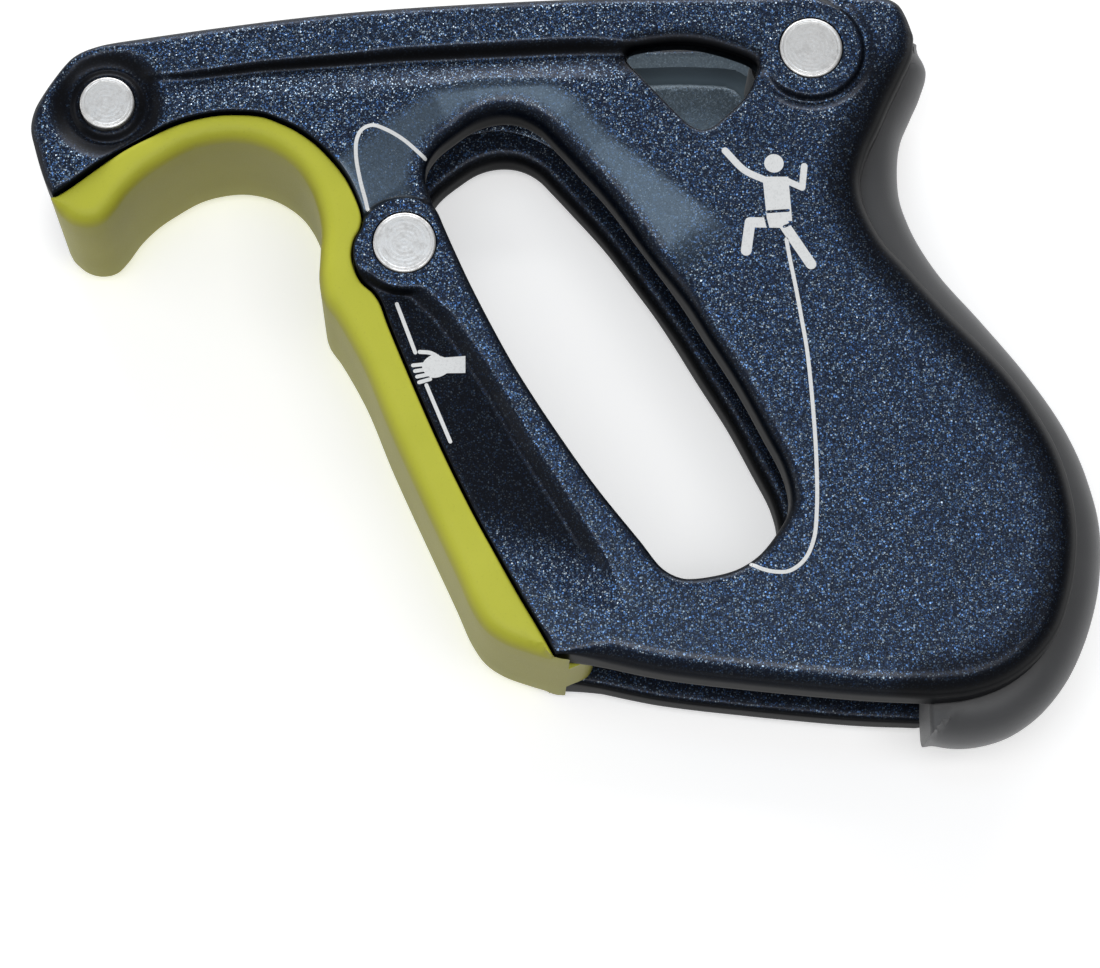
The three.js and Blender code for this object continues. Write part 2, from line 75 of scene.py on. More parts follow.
PLATE_HOOK = [(0.3, -26.2), (-1.5, -22.9), (-4, -18.6), (-7.4, -12.4), (-10.3, -7), (-15.1, 3.1),
    (-21.6, 18.7), (-22.8, 22), (-23.8, 23.5), (-25.3, 24.9), (-26.2, 26.7), (-26.6, 28.6), (-26.3, 30.6),
    (-25.5, 32.2), (-25.3, 34), (-26.2, 36.9), (-27.7, 39.9), (-29.9, 42.7), (-31.9, 44.7), (-34.4, 46.5),
    (-36.6, 47.6), (-39, 48.5), (-42, 48.8), (-45.2, 48.7), (-48.7, 48), (-51.5, 47), (-54.7, 45.4),
    (-58.2, 43.4), (-66.1, 37.5), (-67.2, 36.9)]
WINDOW = [(-14.4, 32.6), (-10.9, 24.6), (-5.9, 14.8), (-3.7, 11), (0.2, 4.8), (5.7, -3.3), (11.6, -10.9),
    (14.6, -14.7), (16.9, -15.9), (18.9, -16), (23.5, -15.1), (25.8, -14), (27.6, -12.6), (29.4, -10.4),
    (31.2, -7.4), (31.7, -4.9), (30.9, -1), (28.4, 4.2), (25, 10.8), (21.2, 17.1), (17.9, 22.6),
    (12.2, 30.8), (7.9, 36.8), (3.4, 42.1), (0.9, 44.9), (-1.3, 47.2), (-3.6, 48.5), (-5.7, 48.9),
    (-7.9, 48.7), (-10.3, 47.8), (-12.9, 46), (-15.4, 43.8), (-16.7, 41.6), (-16.9, 39.4), (-16.2, 37),
    (-15.2, 34.6)]
KEYHOLE = [(10.9, 57.6), (14.4, 58.5), (19.2, 58.7), (23.5, 57.8), (27.6, 56.1), (28.3, 55.2),
    (27.8, 53.4), (26.5, 51), (23.6, 48.1), (22, 46.8), (20.6, 46.4), (19.1, 47), (17.4, 48.6), (15, 51.2),
    (12, 54.6), (10.6, 56.6)]
HOLLOW = [(7.5, -22), (20, -25.2), (35, -27.3), (50, -28.4), (57.2, -26.6), (62.4, -22.6), (65.2, -17),
    (66.4, -9), (65.4, -2.5), (62.2, 5), (57, 12.2), (50, 20.4), (43.6, 28), (40, 34.6), (39.3, 40.4),
    (41.2, 45.4), (39.4, 48.4), (35, 49.2), (31.4, 51.6), (30, 55.4), (29.6, 59.4), (27.6, 62), (22, 62.8),
    (12, 62.6), (4, 62.2), (-4, 61.6), (-12, 61), (-22, 59.8), (-25.2, 57.4), (-24.4, 53.4), (-18, 51.2),
    (-11, 52.4), (-5.7, 52.9), (0.5, 50.4), (6.2, 45), (14.8, 34.4), (20.6, 26.2), (28, 14.2), (34, 2.4),
    (35.2, -4.8), (33.6, -10.6), (29.6, -16.4), (22.5, -18.8), (17, -19.8), (11.5, -17.8), (8.4, -17), (6.4, -19.2)]
BUMPER_WALL = [(-67.5, 36.7), (-66.5, 34.9), (-64.7, 33.4), (-62.6, 32.9), (-60.6, 33.4), (-59, 35.1),
    (-57.3, 37.6), (-55, 40), (-52.4, 41.9), (-49, 43.9), (-46, 44.8), (-42.8, 45.1), (-39.5, 44.5),
    (-36.8, 43.2), (-34.4, 41.2), (-32.6, 38.4), (-31.5, 35.4), (-31, 32.4), (-31.1, 29), (-31.2, 25.5),
    (-30.6, 22.5), (-28.8, 19.8), (-25.3, 13.4), (-21.6, 4.3), (-17, -6), (-12.8, -15.2), (-10.6, -20.2),
    (-8.8, -22.8), (-6.4, -24.5), (-3, -25.8), (0.6, -26.8), (2.2, -26.9)]
TONGUE_IN = [(2.2, -26.9), (5.4, -25.2), (5.8, -21.6), (4.4, -17.6), (1.2, -13), (-4.6, -5.4),
    (-10.8, 4.6), (-15.6, 14), (-18.4, 19.6), (-19.6, 23), (-22, 38.6), (-27.4, 46.2), (-33.6, 50.6),
    (-40.4, 53.2), (-46, 54.2), (-50.6, 57.4), (-57, 57.6), (-61.4, 56.6), (-64.8, 53.6), (-67.6, 49.4),
    (-68.4, 46.4), (-67.8, 43.2), (-67.3, 40), (-67.5, 36.7)]
PAD_OUT = [(51.6, 62.3), (53, 59.2), (52.2, 56), (50.7, 52.6), (49.2, 49), (48.6, 45.4), (48.7, 40.5),
    (49.7, 37), (51.1, 33.8), (54, 29.1), (59.5, 22.5), (65.5, 14.9), (69.8, 8.3), (72.2, 3.2),
    (73.5, -0.8), (74.4, -4.8), (74.7, -8.8), (74.5, -12.2), (73.8, -16.6), (72, -22.4), (69.4, -27.6),
    (66, -31.8), (62.4, -34.5), (59.6, -35.7), (56.2, -36.4), (53.4, -36.4), (50.2, -35.8)]
CORE_OUT = [(44.6, 60.8), (45.2, 58), (43.6, 53.8), (41.2, 48.8), (38.9, 43.6), (37.9, 39.4), (38.3, 35.6),
    (40.2, 31.4), (43.9, 26.1), (49.6, 19.5), (57.4, 10.6), (61, 5.6), (63.8, 0.4), (65.2, -4.4),
    (65.8, -8.8), (65.4, -13.4), (64.4, -17.6), (62.8, -21.2), (60.4, -24.2), (57.2, -26.4), (53.8, -27.6),
    (50.2, -28)]
CORE_IN = [(50.2, -28), (49.2, -27.2), (49, -24.6), (50.2, -22.6), (53.4, -20.6), (56, -16.6), (57, -10.6),
    (56.4, -4.4), (53.4, 1.8), (47, 9.4), (39.6, 17.8), (33.6, 26), (30.6, 33.4), (30.4, 40.4),
    (32.2, 46.6), (31.6, 49.2), (29.6, 53.6), (28, 59), (29.6, 61.8), (32.4, 62.6), (41, 62.6), (44, 62),
    (44.6, 60.8)]


# ---------------------------------------------------------------- outline helpers
def crom(points, closed=False, step=0.3):
    """Centripetal Catmull-Rom through the points, resampled evenly."""
    p = np.asarray(points, float)
    n = len(p)
    out = []
    for i in range(n if closed else n - 1):
        if closed:
            p0, p1, p2, p3 = p[(i - 1) % n], p[i], p[(i + 1) % n], p[(i + 2) % n]
        else:
            p1, p2 = p[i], p[i + 1]
            p0 = p[i - 1] if i > 0 else 2 * p[0] - p[1]
            p3 = p[i + 2] if i + 2 < n else 2 * p[-1] - p[-2]
        d0, d1, d2 = [max(float(np.linalg.norm(b - a)) ** 0.5, 1e-4) for a, b in ((p0, p1), (p1, p2), (p2, p3))]
        t1 = ((p1 - p0) / d0 - (p2 - p0) / (d0 + d1) + (p2 - p1) / d1) * d1
        t2 = ((p2 - p1) / d1 - (p3 - p1) / (d1 + d2) + (p3 - p2) / d2) * d1
        t = np.linspace(0, 1, 24, endpoint=False)[:, None]
        out.append((2 * t ** 3 - 3 * t ** 2 + 1) * p1 + (t ** 3 - 2 * t ** 2 + t) * t1
                   + (-2 * t ** 3 + 3 * t ** 2) * p2 + (t ** 3 - t ** 2) * t2)
    out = np.vstack(out + [p[:1] if closed else p[-1:]])
    return resample(out, step)[:-1] if closed else resample(out, step)


def resample(line, step):
    seg = np.linalg.norm(np.diff(line, axis=0), axis=1)
    s = np.concatenate([[0], np.cumsum(seg)])
    n = max(2, int(round(s[-1] / step)))
    t = np.linspace(0, s[-1], n + 1)
    return np.column_stack([np.interp(t, s, line[:, 0]), np.interp(t, s, line[:, 1])])


def runs(parts, step=0.3, smooth=2.0):
    """Joins (points, value) runs into one closed counter-clockwise loop with a smoothed value per point."""
    pts, val = [], []
    for points, v in parts:
        q = crom(points, step=step)[:-1]
        pts.append(q)
        val.append(np.full(len(q), float(v)))
    pts, val = np.vstack(pts), np.concatenate(val)
    if smooth:
        k = max(1, int(smooth / step))
        w = np.hanning(2 * k + 3)[1:-1]
        w /= w.sum()
        pad = len(w) // 2
        val = np.convolve(np.concatenate([val[-pad:], val, val[:pad]]), w, "valid")
    if area(pts) < 0:
        pts, val = pts[::-1].copy(), val[::-1].copy()
    return pts, val


def area(p):
    q = np.roll(p, -1, axis=0)
    return 0.5 * float(np.sum(p[:, 0] * q[:, 1] - q[:, 0] * p[:, 1]))


def normals(p):
    """Unit normals to the left of a closed loop: inwards for a counter-clockwise one."""
    t = np.roll(p, -1, axis=0) - np.roll(p, 1, axis=0)
    t /= np.linalg.norm(t, axis=1)[:, None] + 1e-12
    return np.column_stack([-t[:, 1], t[:, 0]])


def circle(x, y, r, n=72):
    a = np.linspace(0, 2 * math.pi, n, endpoint=False)
    return np.column_stack([x + r * np.cos(a), y + r * np.sin(a)])


def near(p, line, closed=True):
    """Distance from each point to a polyline, the nearest segment and the place along it."""
    a = line if closed else line[:-1]
    b = np.roll(line, -1, axis=0) if closed else line[1:]
    ab = b - a
    l2 = np.maximum((ab ** 2).sum(1), 1e-12)
    dist, seg, at = np.empty(len(p)), np.empty(len(p), int), np.empty(len(p))
    for i in range(0, len(p), 3000):
        q = p[i:i + 3000]
        dx, dy = q[:, None, 0] - a[None, :, 0], q[:, None, 1] - a[None, :, 1]
        t = np.clip((dx * ab[:, 0] + dy * ab[:, 1]) / l2, 0, 1)
        d = (dx - t * ab[:, 0]) ** 2 + (dy - t * ab[:, 1]) ** 2
        k = d.argmin(1)
        r = np.arange(len(q))
        dist[i:i + 3000], seg[i:i + 3000], at[i:i + 3000] = np.sqrt(d[r, k]), k, t[r, k]
    return dist, seg, at


def inside(p, loop):
    a, b = loop, np.roll(loop, -1, axis=0)
    res = np.zeros(len(p), bool)
    for i in range(0, len(p), 3000):
        q = p[i:i + 3000]
        y = q[:, None, 1]
        cross = (a[None, :, 1] > y) != (b[None, :, 1] > y)
        with np.errstate(divide="ignore", invalid="ignore"):
            x = (b[:, 0] - a[:, 0]) * (y - a[None, :, 1]) / (b[:, 1] - a[:, 1]) + a[:, 0]
        res[i:i + 3000] = (cross & (q[:, None, 0] < x)).sum(1) % 2 == 1
    return res


def side(p, line):
    """Signed distance to an open polyline, positive on its right."""
    d, k, _ = near(p, line, closed=False)
    a, b = line[k], line[k + 1]
    c = (b[:, 0] - a[:, 0]) * (p[:, 1] - a[:, 1]) - (b[:, 1] - a[:, 1]) * (p[:, 0] - a[:, 0])
    return np.where(c < 0, d, -d)


def ss(a, b, x):
    t = np.clip((x - a) / (b - a), 0, 1)
    return t * t * (3 - 2 * t)


class Loop:
    """A boundary of a patch. a is the rounding's width in plan and b its height, one value per point."""

    def __init__(self, pts, a, b=None, hole=False, rings=7):
        self.pts, self.hole, self.rings = pts, hole, rings
        self.a = np.broadcast_to(np.asarray(a, float), (len(pts),)).copy()
        self.b = self.a if b is None else np.broadcast_to(np.asarray(b, float), (len(pts),)).copy()

    def drop(self, p):
        d, k, t = near(p, self.pts)
        j = (k + 1) % len(self.pts)
        a = self.a[k] * (1 - t) + self.a[j] * t
        b = self.b[k] * (1 - t) + self.b[j] * t
        u = np.clip(1 - d / a, 0, 1)
        return np.where(d < a, b * (1 - np.sqrt(np.clip(1 - u * u, 0, 1))), 0.0), d, a


class Patch:
    """A height field over a region with holes: rounded at its loops, with a relief and its own points."""

    def __init__(self, loops, grid, level, relief=None, extra=None, skip=None):
        self.loops = loops
        outer = loops[0]
        free = []
        for lp in loops:
            n = normals(lp.pts) * (-1 if lp.hole else 1)
            for i in range(1, lp.rings + 1):
                f = 1 - math.cos(i / lp.rings * math.pi / 2)
                off = lp.a * f
                q = lp.pts + n * off[:, None]
                keep = np.ones(len(q), bool)
                if i > 1:
                    keep = (np.arange(len(q)) + i) % (2 if i > lp.rings // 2 else 1) == 0
                d, _, _ = near(q, lp.pts)
                keep &= d > off * 0.97
                for other in loops:
                    if other is not lp:
                        e, _, _ = near(q, other.pts)
                        keep &= e > 0.3
                free.append(q[keep])
        lo, hi = outer.pts.min(0), outer.pts.max(0)
        gx = np.arange(lo[0], hi[0], grid)
        gy = np.arange(lo[1], hi[1], grid * 0.8660254)
        g = np.array([(x + (grid / 2 if j % 2 else 0), y) for j, y in enumerate(gy) for x in gx])
        if skip is not None:
            g = g[~skip(g)]
        if extra is not None:
            g = np.vstack([g, extra])
        keep = inside(g, outer.pts)
        for lp in loops[1:]:
            keep &= ~inside(g, lp.pts)
        g = g[keep]
        keep = np.ones(len(g), bool)
        for lp in loops:
            _, d, a = lp.drop(g)
            keep &= d > a + grid * 0.35
        free.append(g[keep])
        free = np.vstack(free)
        keep = inside(free, outer.pts)
        for lp in loops[1:]:
            keep &= ~inside(free, lp.pts)
        free = free[keep]
        pts, edges, self.start = [], [], []
        n = 0
        for lp in loops:
            m = len(lp.pts)
            self.start.append(n)
            pts.append(lp.pts)
            edges += [(n + i, n + (i + 1) % m) for i in range(m)]
            n += m
        allp = np.vstack(pts + [free])
        v, _, f, ov, _, _ = delaunay_2d_cdt([Vector(q) for q in allp.tolist()], edges, [], 1, 1e-5)
        v = np.array([tuple(q) for q in v])
        f = np.array([tuple(t) for t in f if len(t) == 3])
        where = {}
        for i, src in enumerate(ov):
            for s in src:
                where[s] = i
        mid = v[f].mean(1)
        ok = inside(mid, outer.pts)
        for lp in loops[1:]:
            ok &= ~inside(mid, lp.pts)
        f = f[ok]
        used = np.unique(f)
        new = -np.ones(len(v), int)
        new[used] = np.arange(len(used))
        self.xy = v[used]
        self.faces = new[f]
        self.index = [[int(new[where[s + i]]) for i in range(len(lp.pts))] for s, lp in zip(self.start, loops)]
        drop = np.zeros(len(self.xy))
        for lp in loops:
            drop = np.maximum(drop, lp.drop(self.xy)[0])
        self.z = level - drop + (relief(self.xy) if relief is not None else 0.0)


class Build:
    """Collects vertices and faces in millimetres and makes one closed mesh object of them."""

    def __init__(self):
        self.v, self.f, self.mat = [], [], []
        self.n = 0

    def points(self, xyz):
        xyz = np.asarray(xyz, float)
        self.v.append(xyz)
        self.n += len(xyz)
        return self.n - len(xyz)

    def patch(self, patch, mirror=False):
        z = 2 * MID - patch.z if mirror else patch.z
        base = self.points(np.column_stack([patch.xy, z]))
        self.f += [tuple(int(base + i) for i in t) for t in patch.faces]
        return [[base + i for i in ix] for ix in patch.index]

    def row(self, pts, z):
        base = self.points(np.column_stack([pts, np.broadcast_to(z, (len(pts),))]))
        return [base + i for i in range(len(pts))]

    def wall(self, *rows, closed=True):
        for a, b in zip(rows[:-1], rows[1:]):
            m = len(a)
            for i in range(m if closed else m - 1):
                j = (i + 1) % m
                self.f.append((a[i], a[j], b[j], b[i]))

    def cap(self, row, centre):
        c = self.points([centre])
        m = len(row)
        for i in range(m):
            self.f.append((row[i], row[(i + 1) % m], c))

    def heights(self, row):
        allv = np.vstack(self.v)
        return allv[row]

    def make(self, name, sharp=38):
        v = np.vstack(self.v)
        co = np.column_stack([v[:, 0] - SX, v[:, 1] - SY, v[:, 2]]) * 0.001
        me = bpy.data.meshes.new(name)
        faces = [tuple(int(i) for i in t) for t in self.f if len(set(t)) == len(t)]
        me.from_pydata(co.tolist(), [], faces)
        me.validate()
        bm = bmesh.new()
        bm.from_mesh(me)
        bmesh.ops.remove_doubles(bm, verts=bm.verts[:], dist=2e-6)
        bmesh.ops.recalc_face_normals(bm, faces=bm.faces[:])
        odd = [e for e in bm.edges if len(e.link_faces) != 2]
        open_edges = len(odd)
        bm.to_mesh(me)
        bm.free()
        me.validate()
        for poly in me.polygons:
            poly.use_smooth = True
        me.set_sharp_from_angle(angle=math.radians(sharp))
        ob = bpy.data.objects.new(name, me)
        bpy.context.scene.collection.objects.link(ob)
        print(f"{name}: {len(me.vertices)} vertices, {len(me.polygons)} faces, {open_edges} open edges")
        return ob


def lathe(name, x, y, profile, n=96):
    """Closed turned solid about the vertical axis at x, y. A profile that starts on the axis ends on it."""
    b = Build()
    rows = []
    for r, z in profile:
        if r < 1e-6:
            rows.append([b.points([(x, y, z)])])
        else:
            rows.append(b.row(circle(x, y, r, n), z))
    if profile[0][0] > 1e-6:
        rows.append(rows[0])
    for a, c in zip(rows[:-1], rows[1:]):
        for i in range(n):
            j = (i + 1) % n
            if len(a) == 1:
                b.f.append((a[0], c[i], c[j]))
            elif len(c) == 1:
                b.f.append((a[i], a[j], c[0]))
            else:
                b.f.append((a[i], a[j], c[j], c[i]))
    return b.make(name, sharp=30)


# ---------------------------------------------------------------- relief of a plate's outer face
GROOVE = np.array([(-58, 53.2), (-54.9, 53.5), (-49, 53.9), (-39.2, 55.3), (-29.3, 56.2), (-20.4, 57.1), (-13.6, 57.5),
                   (-6.8, 57.9), (0, 58.3), (5.5, 58.5), (10, 58.2), (14, 57.2), (20, 55), (28, 53.8), (32, 56), (36, 60)])
BAND = np.array([(-34, 38.5), (-29.1, 42.0), (-23.1, 47.3), (-16.3, 52.2), (-10.5, 53.9), (-0.5, 53.9), (3.9, 51.2),
                 (8.4, 45.8), (16.7, 39.0), (25.0, 32.2), (34, 25)])
POCKET = np.array([(-19.5, 30), (-18.7, 24.0), (-17.1, 22.6), (-14.5, 20.0), (-11.8, 16.4), (-7.3, 9.4), (-2.9, 1.4),
                   (2.0, -6.6), (5.6, -12.6), (9, -19)])
MAIN, RIB, BOSS = -0.45, 0.0, -0.12
BAND_SLOPE = 0.19
POCKET_DEPTH = 1.55


def relief(p):
    x, y = p[:, 0], p[:, 1]
    rho = {k: np.hypot(x - cx, y - cy) for k, (cx, cy, _) in RIVETS.items()}
    left = ss(-57, -50, x)
    # main face, lower than the rib, and level with the centre boss beside it
    main = MAIN * left * ss(7, 26, rho["centre"])
    # bevel towards the window
    d = np.clip(side(p, BAND), 0, 8.5)
    along = (x - 8.4) * 0.78 - (y - 45.8) * 0.62
    lower = np.maximum(ss(30.5, 34.5, y), ((x + 16) * 50 + (y - 36) * 41 > 0) * 1.0)
    band = -BAND_SLOPE * np.clip(d - 0.35 * (1 - np.exp(-d / 0.35)), 0, 9) * (1 - ss(15, 25, along)) * lower
    # pocket beside the window, open to the bumper's side
    q = side(p, POCKET)
    u = (x + 1.0) * 0.318 + (y + 18.3) * 0.948
    mask = ss(-1.3, 1.5, q) * ss(0, 8.5, u) * (1 - ss(24.5, 27, y))
    pocket = -(POCKET_DEPTH - 0.08 * np.clip(q, 0, 10)) * mask
    h = main + band + pocket
    # rib along the top, with the groove under it
    yg = np.interp(x, GROOVE[:, 0], GROOVE[:, 1])
    w = np.interp(x, [-55, -40, -20, 0, 8, 12, 20], [0.5, 0.7, 1.0, 1.2, 1.15, 0.8, 0.8])
    depth = np.interp(x, [-56, -50, -35, -15, 5, 10, 13, 28], [0.4, 0.9, 1.25, 1.6, 1.7, 1.3, 0.6, 0.4])
    v = y - yg
    up = ss(-w, w, v)
    lip = ss(-w - 4.6, -w, v)
    under = h * (1 - lip) - depth * ss(-58.5, -54.5, x) * lip
    wx = 1 - ss(34, 42, x)
    h = (under * (1 - up) + RIB * up) * wx + h * (1 - wx)
    # boss and step round the heel rivet
    r = rho["heel"]
    ang = np.degrees(np.arctan2(y - RIVETS["heel"][1], x - RIVETS["heel"][0]))
    fade = np.where(ang > 0, 1 - ss(66, 88, ang), ss(-150, -112, ang))
    fade = np.where(ang > 120, 0, fade)
    ring = -1.05 * ss(6.6, 7.6, r) * (1 - ss(7.6, 9.3, r))
    h = np.where(r < 6.6, BOSS, h * ss(6.6, 7.4, r) + BOSS * (1 - ss(6.6, 7.4, r)))
    h = np.where((r > 6.6) & (r < 9.3), h * (1 - fade) + fade * (BOSS * (1 - ss(6.6, 7.2, r)) + MAIN * ss(7.6, 9.3, r) + ring), h)
    # boss round the centre rivet
    c = rho["centre"]
    h = h * ss(6.1, 7.2, c) + BOSS * (1 - ss(6.1, 7.2, c))
    # dish and collar round the hook rivet
    k = rho["hook"]
    dish = -0.75 - 0.75 * ss(4.0, 5.4, k)
    h = dish * (1 - ss(5.2, 8.6, k)) + h * ss(5.2, 8.6, k)
    return h


def painted_shade_and_sheen(p):
    """Masks of painted light. Painted shade (near-black paint, fewer flakes) goes in the pocket, the groove under the
    rib, the hook rivet's dish, along the grip edge and above the keyhole. A painted grey-blue reflection (fewer flakes)
    goes on the bevel.
    """
    x, y = p[:, 0], p[:, 1]
    q = side(p, POCKET)
    u = (x + 1.0) * 0.318 + (y + 18.3) * 0.948
    pocket = ss(-1.0, 1.6, q) * ss(3, 9.5, u) * (1 - ss(25, 27, y))
    # painted shade in the groove under the rib, in the hook rivet's dish, along the grip edge and above the keyhole
    groove = ss(-1.9, -0.4, y - np.interp(x, GROOVE[:, 0], GROOVE[:, 1])) * (1 - ss(-0.2, 1.1, y - np.interp(x, GROOVE[:, 0], GROOVE[:, 1])))
    groove *= ss(-56, -40, x) * (1 - ss(8, 12, x))
    k = np.hypot(x - RIVETS["hook"][0], y - RIVETS["hook"][1])
    grip = (1 - ss(3.4, 7.2, near(p, np.array(PLATE_GRIP), closed=False)[0])) * (1 - ss(54, 62, y)) * 0.9
    key_top = (1 - ss(1.2, 2.6, near(p, key_pts)[0])) * ss(53, 56, y) * (y > 54) * (x < 29)
    pocket = np.maximum.reduce([pocket, groove, 1 - ss(6.6, 8.2, k), grip, key_top])
    # painted reflection on the bevel towards the window
    d = side(p, BAND)
    along = (x - 8.4) * 0.78 - (y - 45.8) * 0.62
    win, _, _ = near(p, WINDOW_L.pts)
    lower = np.maximum(ss(30.5, 34.5, y), ((x + 16) * 50 + (y - 36) * 41 > 0) * 1.0)
    band = ss(-0.9, 2.2, d) * (1 - ss(13, 24, along)) * lower * ss(1.6, 3.2, win)
    c = np.hypot(x - RIVETS["centre"][0], y - RIVETS["centre"][1])
    band *= ss(6.0, 6.8, c)
    pocket *= ss(6.2, 7.0, c)
    return pocket, band


# ---------------------------------------------------------------- side plates
plate_pts, plate_r = runs([(PLATE_TOP, 1.6), (PLATE_GRIP, 4.6), (PLATE_FOOT, 3.0), (PLATE_HOOK, 0.45)], smooth=6.0)
foot_corner = np.hypot(plate_pts[:, 0] - 0.3, plate_pts[:, 1] + 26.2)
plate_r = np.minimum(plate_r, 0.45 + 2.8 * ss(0, 9, foot_corner))
window_pts = crom(WINDOW, closed=True)
window_pts = window_pts if area(window_pts) > 0 else window_pts[::-1].copy()
key_pts = crom(KEYHOLE, closed=True)
key_pts = key_pts if area(key_pts) > 0 else key_pts[::-1].copy()
facing = normals(window_pts) @ np.array([-0.6, -0.8])
window_r = 1.3 + 0.9 * ss(-0.1, 0.6, facing)
key_facing = normals(key_pts) @ np.array([0.1, -0.99])
key_r = 0.7 + 0.7 * ss(0.0, 0.7, key_facing)
WINDOW_L = Loop(window_pts, window_r, hole=True, rings=6)


def plate_patches(keyed):
    """Outer and inner faces of a plate. Only the front plate has the triangular hole."""
    tops = [Loop(plate_pts, plate_r, rings=9), WINDOW_L]
    bots = [Loop(plate_pts, 0.9, rings=4), Loop(window_pts, 1.7, hole=True, rings=5)]
    if keyed:
        tops.append(Loop(key_pts, key_r, hole=True, rings=5))
        bots.append(Loop(key_pts, 0.7, hole=True, rings=3))
    for key, (x, y, head) in RIVETS.items():
        tops.append(Loop(circle(x, y, head + 0.1), 0.18, hole=True, rings=2))
        bots.append(Loop(circle(x, y, SHAFT_R + 0.25, 48), 0.3, hole=True, rings=2))
    for x, y in DOWELS.values():
        bots.append(Loop(circle(x, y, DOWEL_R + 0.25, 32), 0.2, hole=True, rings=1))
    hollow = crom(HOLLOW, closed=True, step=0.7)
    hollow = hollow if area(hollow) > 0 else hollow[::-1].copy()
    hn = normals(hollow)
    rim = [hollow + hn * k for k in (0.02, 0.3, 0.6, 0.95, 1.3, 1.6)]
    for dn in ("grip_dowel_upper", "grip_dowel_lower"):
        x, y = DOWELS[dn]
        rim += [circle(x, y, r, 40) for r in (3.5, 3.8, 4.1, 4.5, 4.9)]

    def inner(p):
        d, _, _ = near(p, hollow)
        h = HOLLOW_DEPTH * ss(0, 1.5, np.where(inside(p, hollow), d, 0))
        for dn in ("grip_dowel_upper", "grip_dowel_lower"):
            x, y = DOWELS[dn]
            h *= ss(3.5, 4.8, np.hypot(p[:, 0] - x, p[:, 1] - y))
        return -h

    fine = []
    for key, radii, n in (("heel", np.arange(6.5, 9.6, 0.22), 130), ("centre", np.arange(6.0, 7.5, 0.22), 120),
                          ("hook", np.arange(4.3, 9.4, 0.24), 130)):
        x, y, _ = RIVETS[key]
        fine += [circle(x, y, r, n) for r in radii]
    # rows of points along the groove under the rib and along the pocket's and bevel's edges
    rows = []
    for line, offs in ((crom(GROOVE, step=0.34), np.arange(-4.2, 2.0, 0.27)), (crom(POCKET, step=0.34), np.arange(-1.6, 1.9, 0.27)),
                       (crom(BAND, step=0.36), (-0.5, -0.2, 0.0, 0.2, 0.5, 0.9))):
        t = np.gradient(line, axis=0)
        t /= np.linalg.norm(t, axis=1)[:, None]
        rows += [line + np.column_stack([t[:, 1], -t[:, 0]]) * o for o in offs]
    rows = np.vstack(rows)

    def near_ring(p):
        r = {k: np.hypot(p[:, 0] - v[0], p[:, 1] - v[1]) for k, v in RIVETS.items()}
        return ((r["heel"] > 6.2) & (r["heel"] < 9.7)) | ((r["centre"] > 5.8) & (r["centre"] < 7.6)) | (
            (r["hook"] > 4.1) & (r["hook"] < 9.4))

    rows = rows[~near_ring(rows)]
    fine.append(rows)

    def near_boss(p):
        return near_ring(p) | (near(p, GROOVE, closed=False)[0] < 3.9) | (near(p, POCKET, closed=False)[0] < 1.8)

    top = Patch(tops, 0.55, THICK, relief, np.vstack(fine), near_boss)
    bot = Patch(bots, 1.1, PLATE, inner, np.vstack(rim),
                lambda p: (near(p, hollow)[0] < 1.9) & inside(p, hollow))
    bot.z = THICK - bot.z                       # inner face looks down
    return tops, top, bot


def add_plate(name, patches, mirror):
    tops, top, bot = patches
    loops = len(tops) - len(RIVETS)
    top, bot = copy.copy(top), copy.copy(bot)
    b = Build()
    if mirror:
        top.z, bot.z = THICK - top.z, THICK - bot.z
    it = b.patch(top)
    ib = b.patch(bot)
    flip = (lambda z: THICK - z) if mirror else (lambda z: z)
    for k in range(loops):
        pts = tops[k].pts
        za, zb = top.z[np.array(top.index[k])], bot.z[np.array(bot.index[k])]
        mids = [b.row(pts, za * (1 - f) + zb * f) for f in (0.25, 0.5, 0.75)]
        b.wall(it[k], *mids, ib[k])
    for k, (key, (x, y, head)) in enumerate(RIVETS.items(), start=loops):
        n = len(tops[k].pts)
        c72 = tops[k].pts
        low = b.row(c72, flip(THICK - 2.2))
        shelf = b.row(circle(x, y, SHAFT_R + 0.25, n), flip(THICK - 2.2))
        deep = b.row(circle(x, y, SHAFT_R + 0.25, n), flip(Z_IN + 0.9))
        b.wall(it[k], low, shelf, deep)
        # the bore's lower loop has fewer points: bridge the two
        m = len(ib[k])
        bridge(b, deep, ib[k])
    for k, (x, y) in enumerate(DOWELS.values(), start=loops + 3):
        ring = b.row(circle(x, y, DOWEL_R + 0.25, 32), flip(Z_IN + 3.5))
        b.wall(ib[k], ring)
        b.cap(ring, (x, y, flip(Z_IN + 3.5)))
    return b.make(name)


def bridge(b, big, small):
    """Closes a band between two rings on one axis that have different point counts."""
    n, m = len(big), len(small)
    i = j = 0
    while i < n or j < m:
        if j >= m or (i < n and (i + 1) / n <= (j + 1) / m):
            b.f.append((big[i % n], big[(i + 1) % n], small[j % m]))
            i += 1
        else:
            b.f.append((big[i % n], small[(j + 1) % m], small[j % m]))
            j += 1


PATCHES = plate_patches(True)
front = add_plate("front_plate_finish", PATCHES, False)
rear = add_plate("rear_plate_finish", plate_patches(False), True)


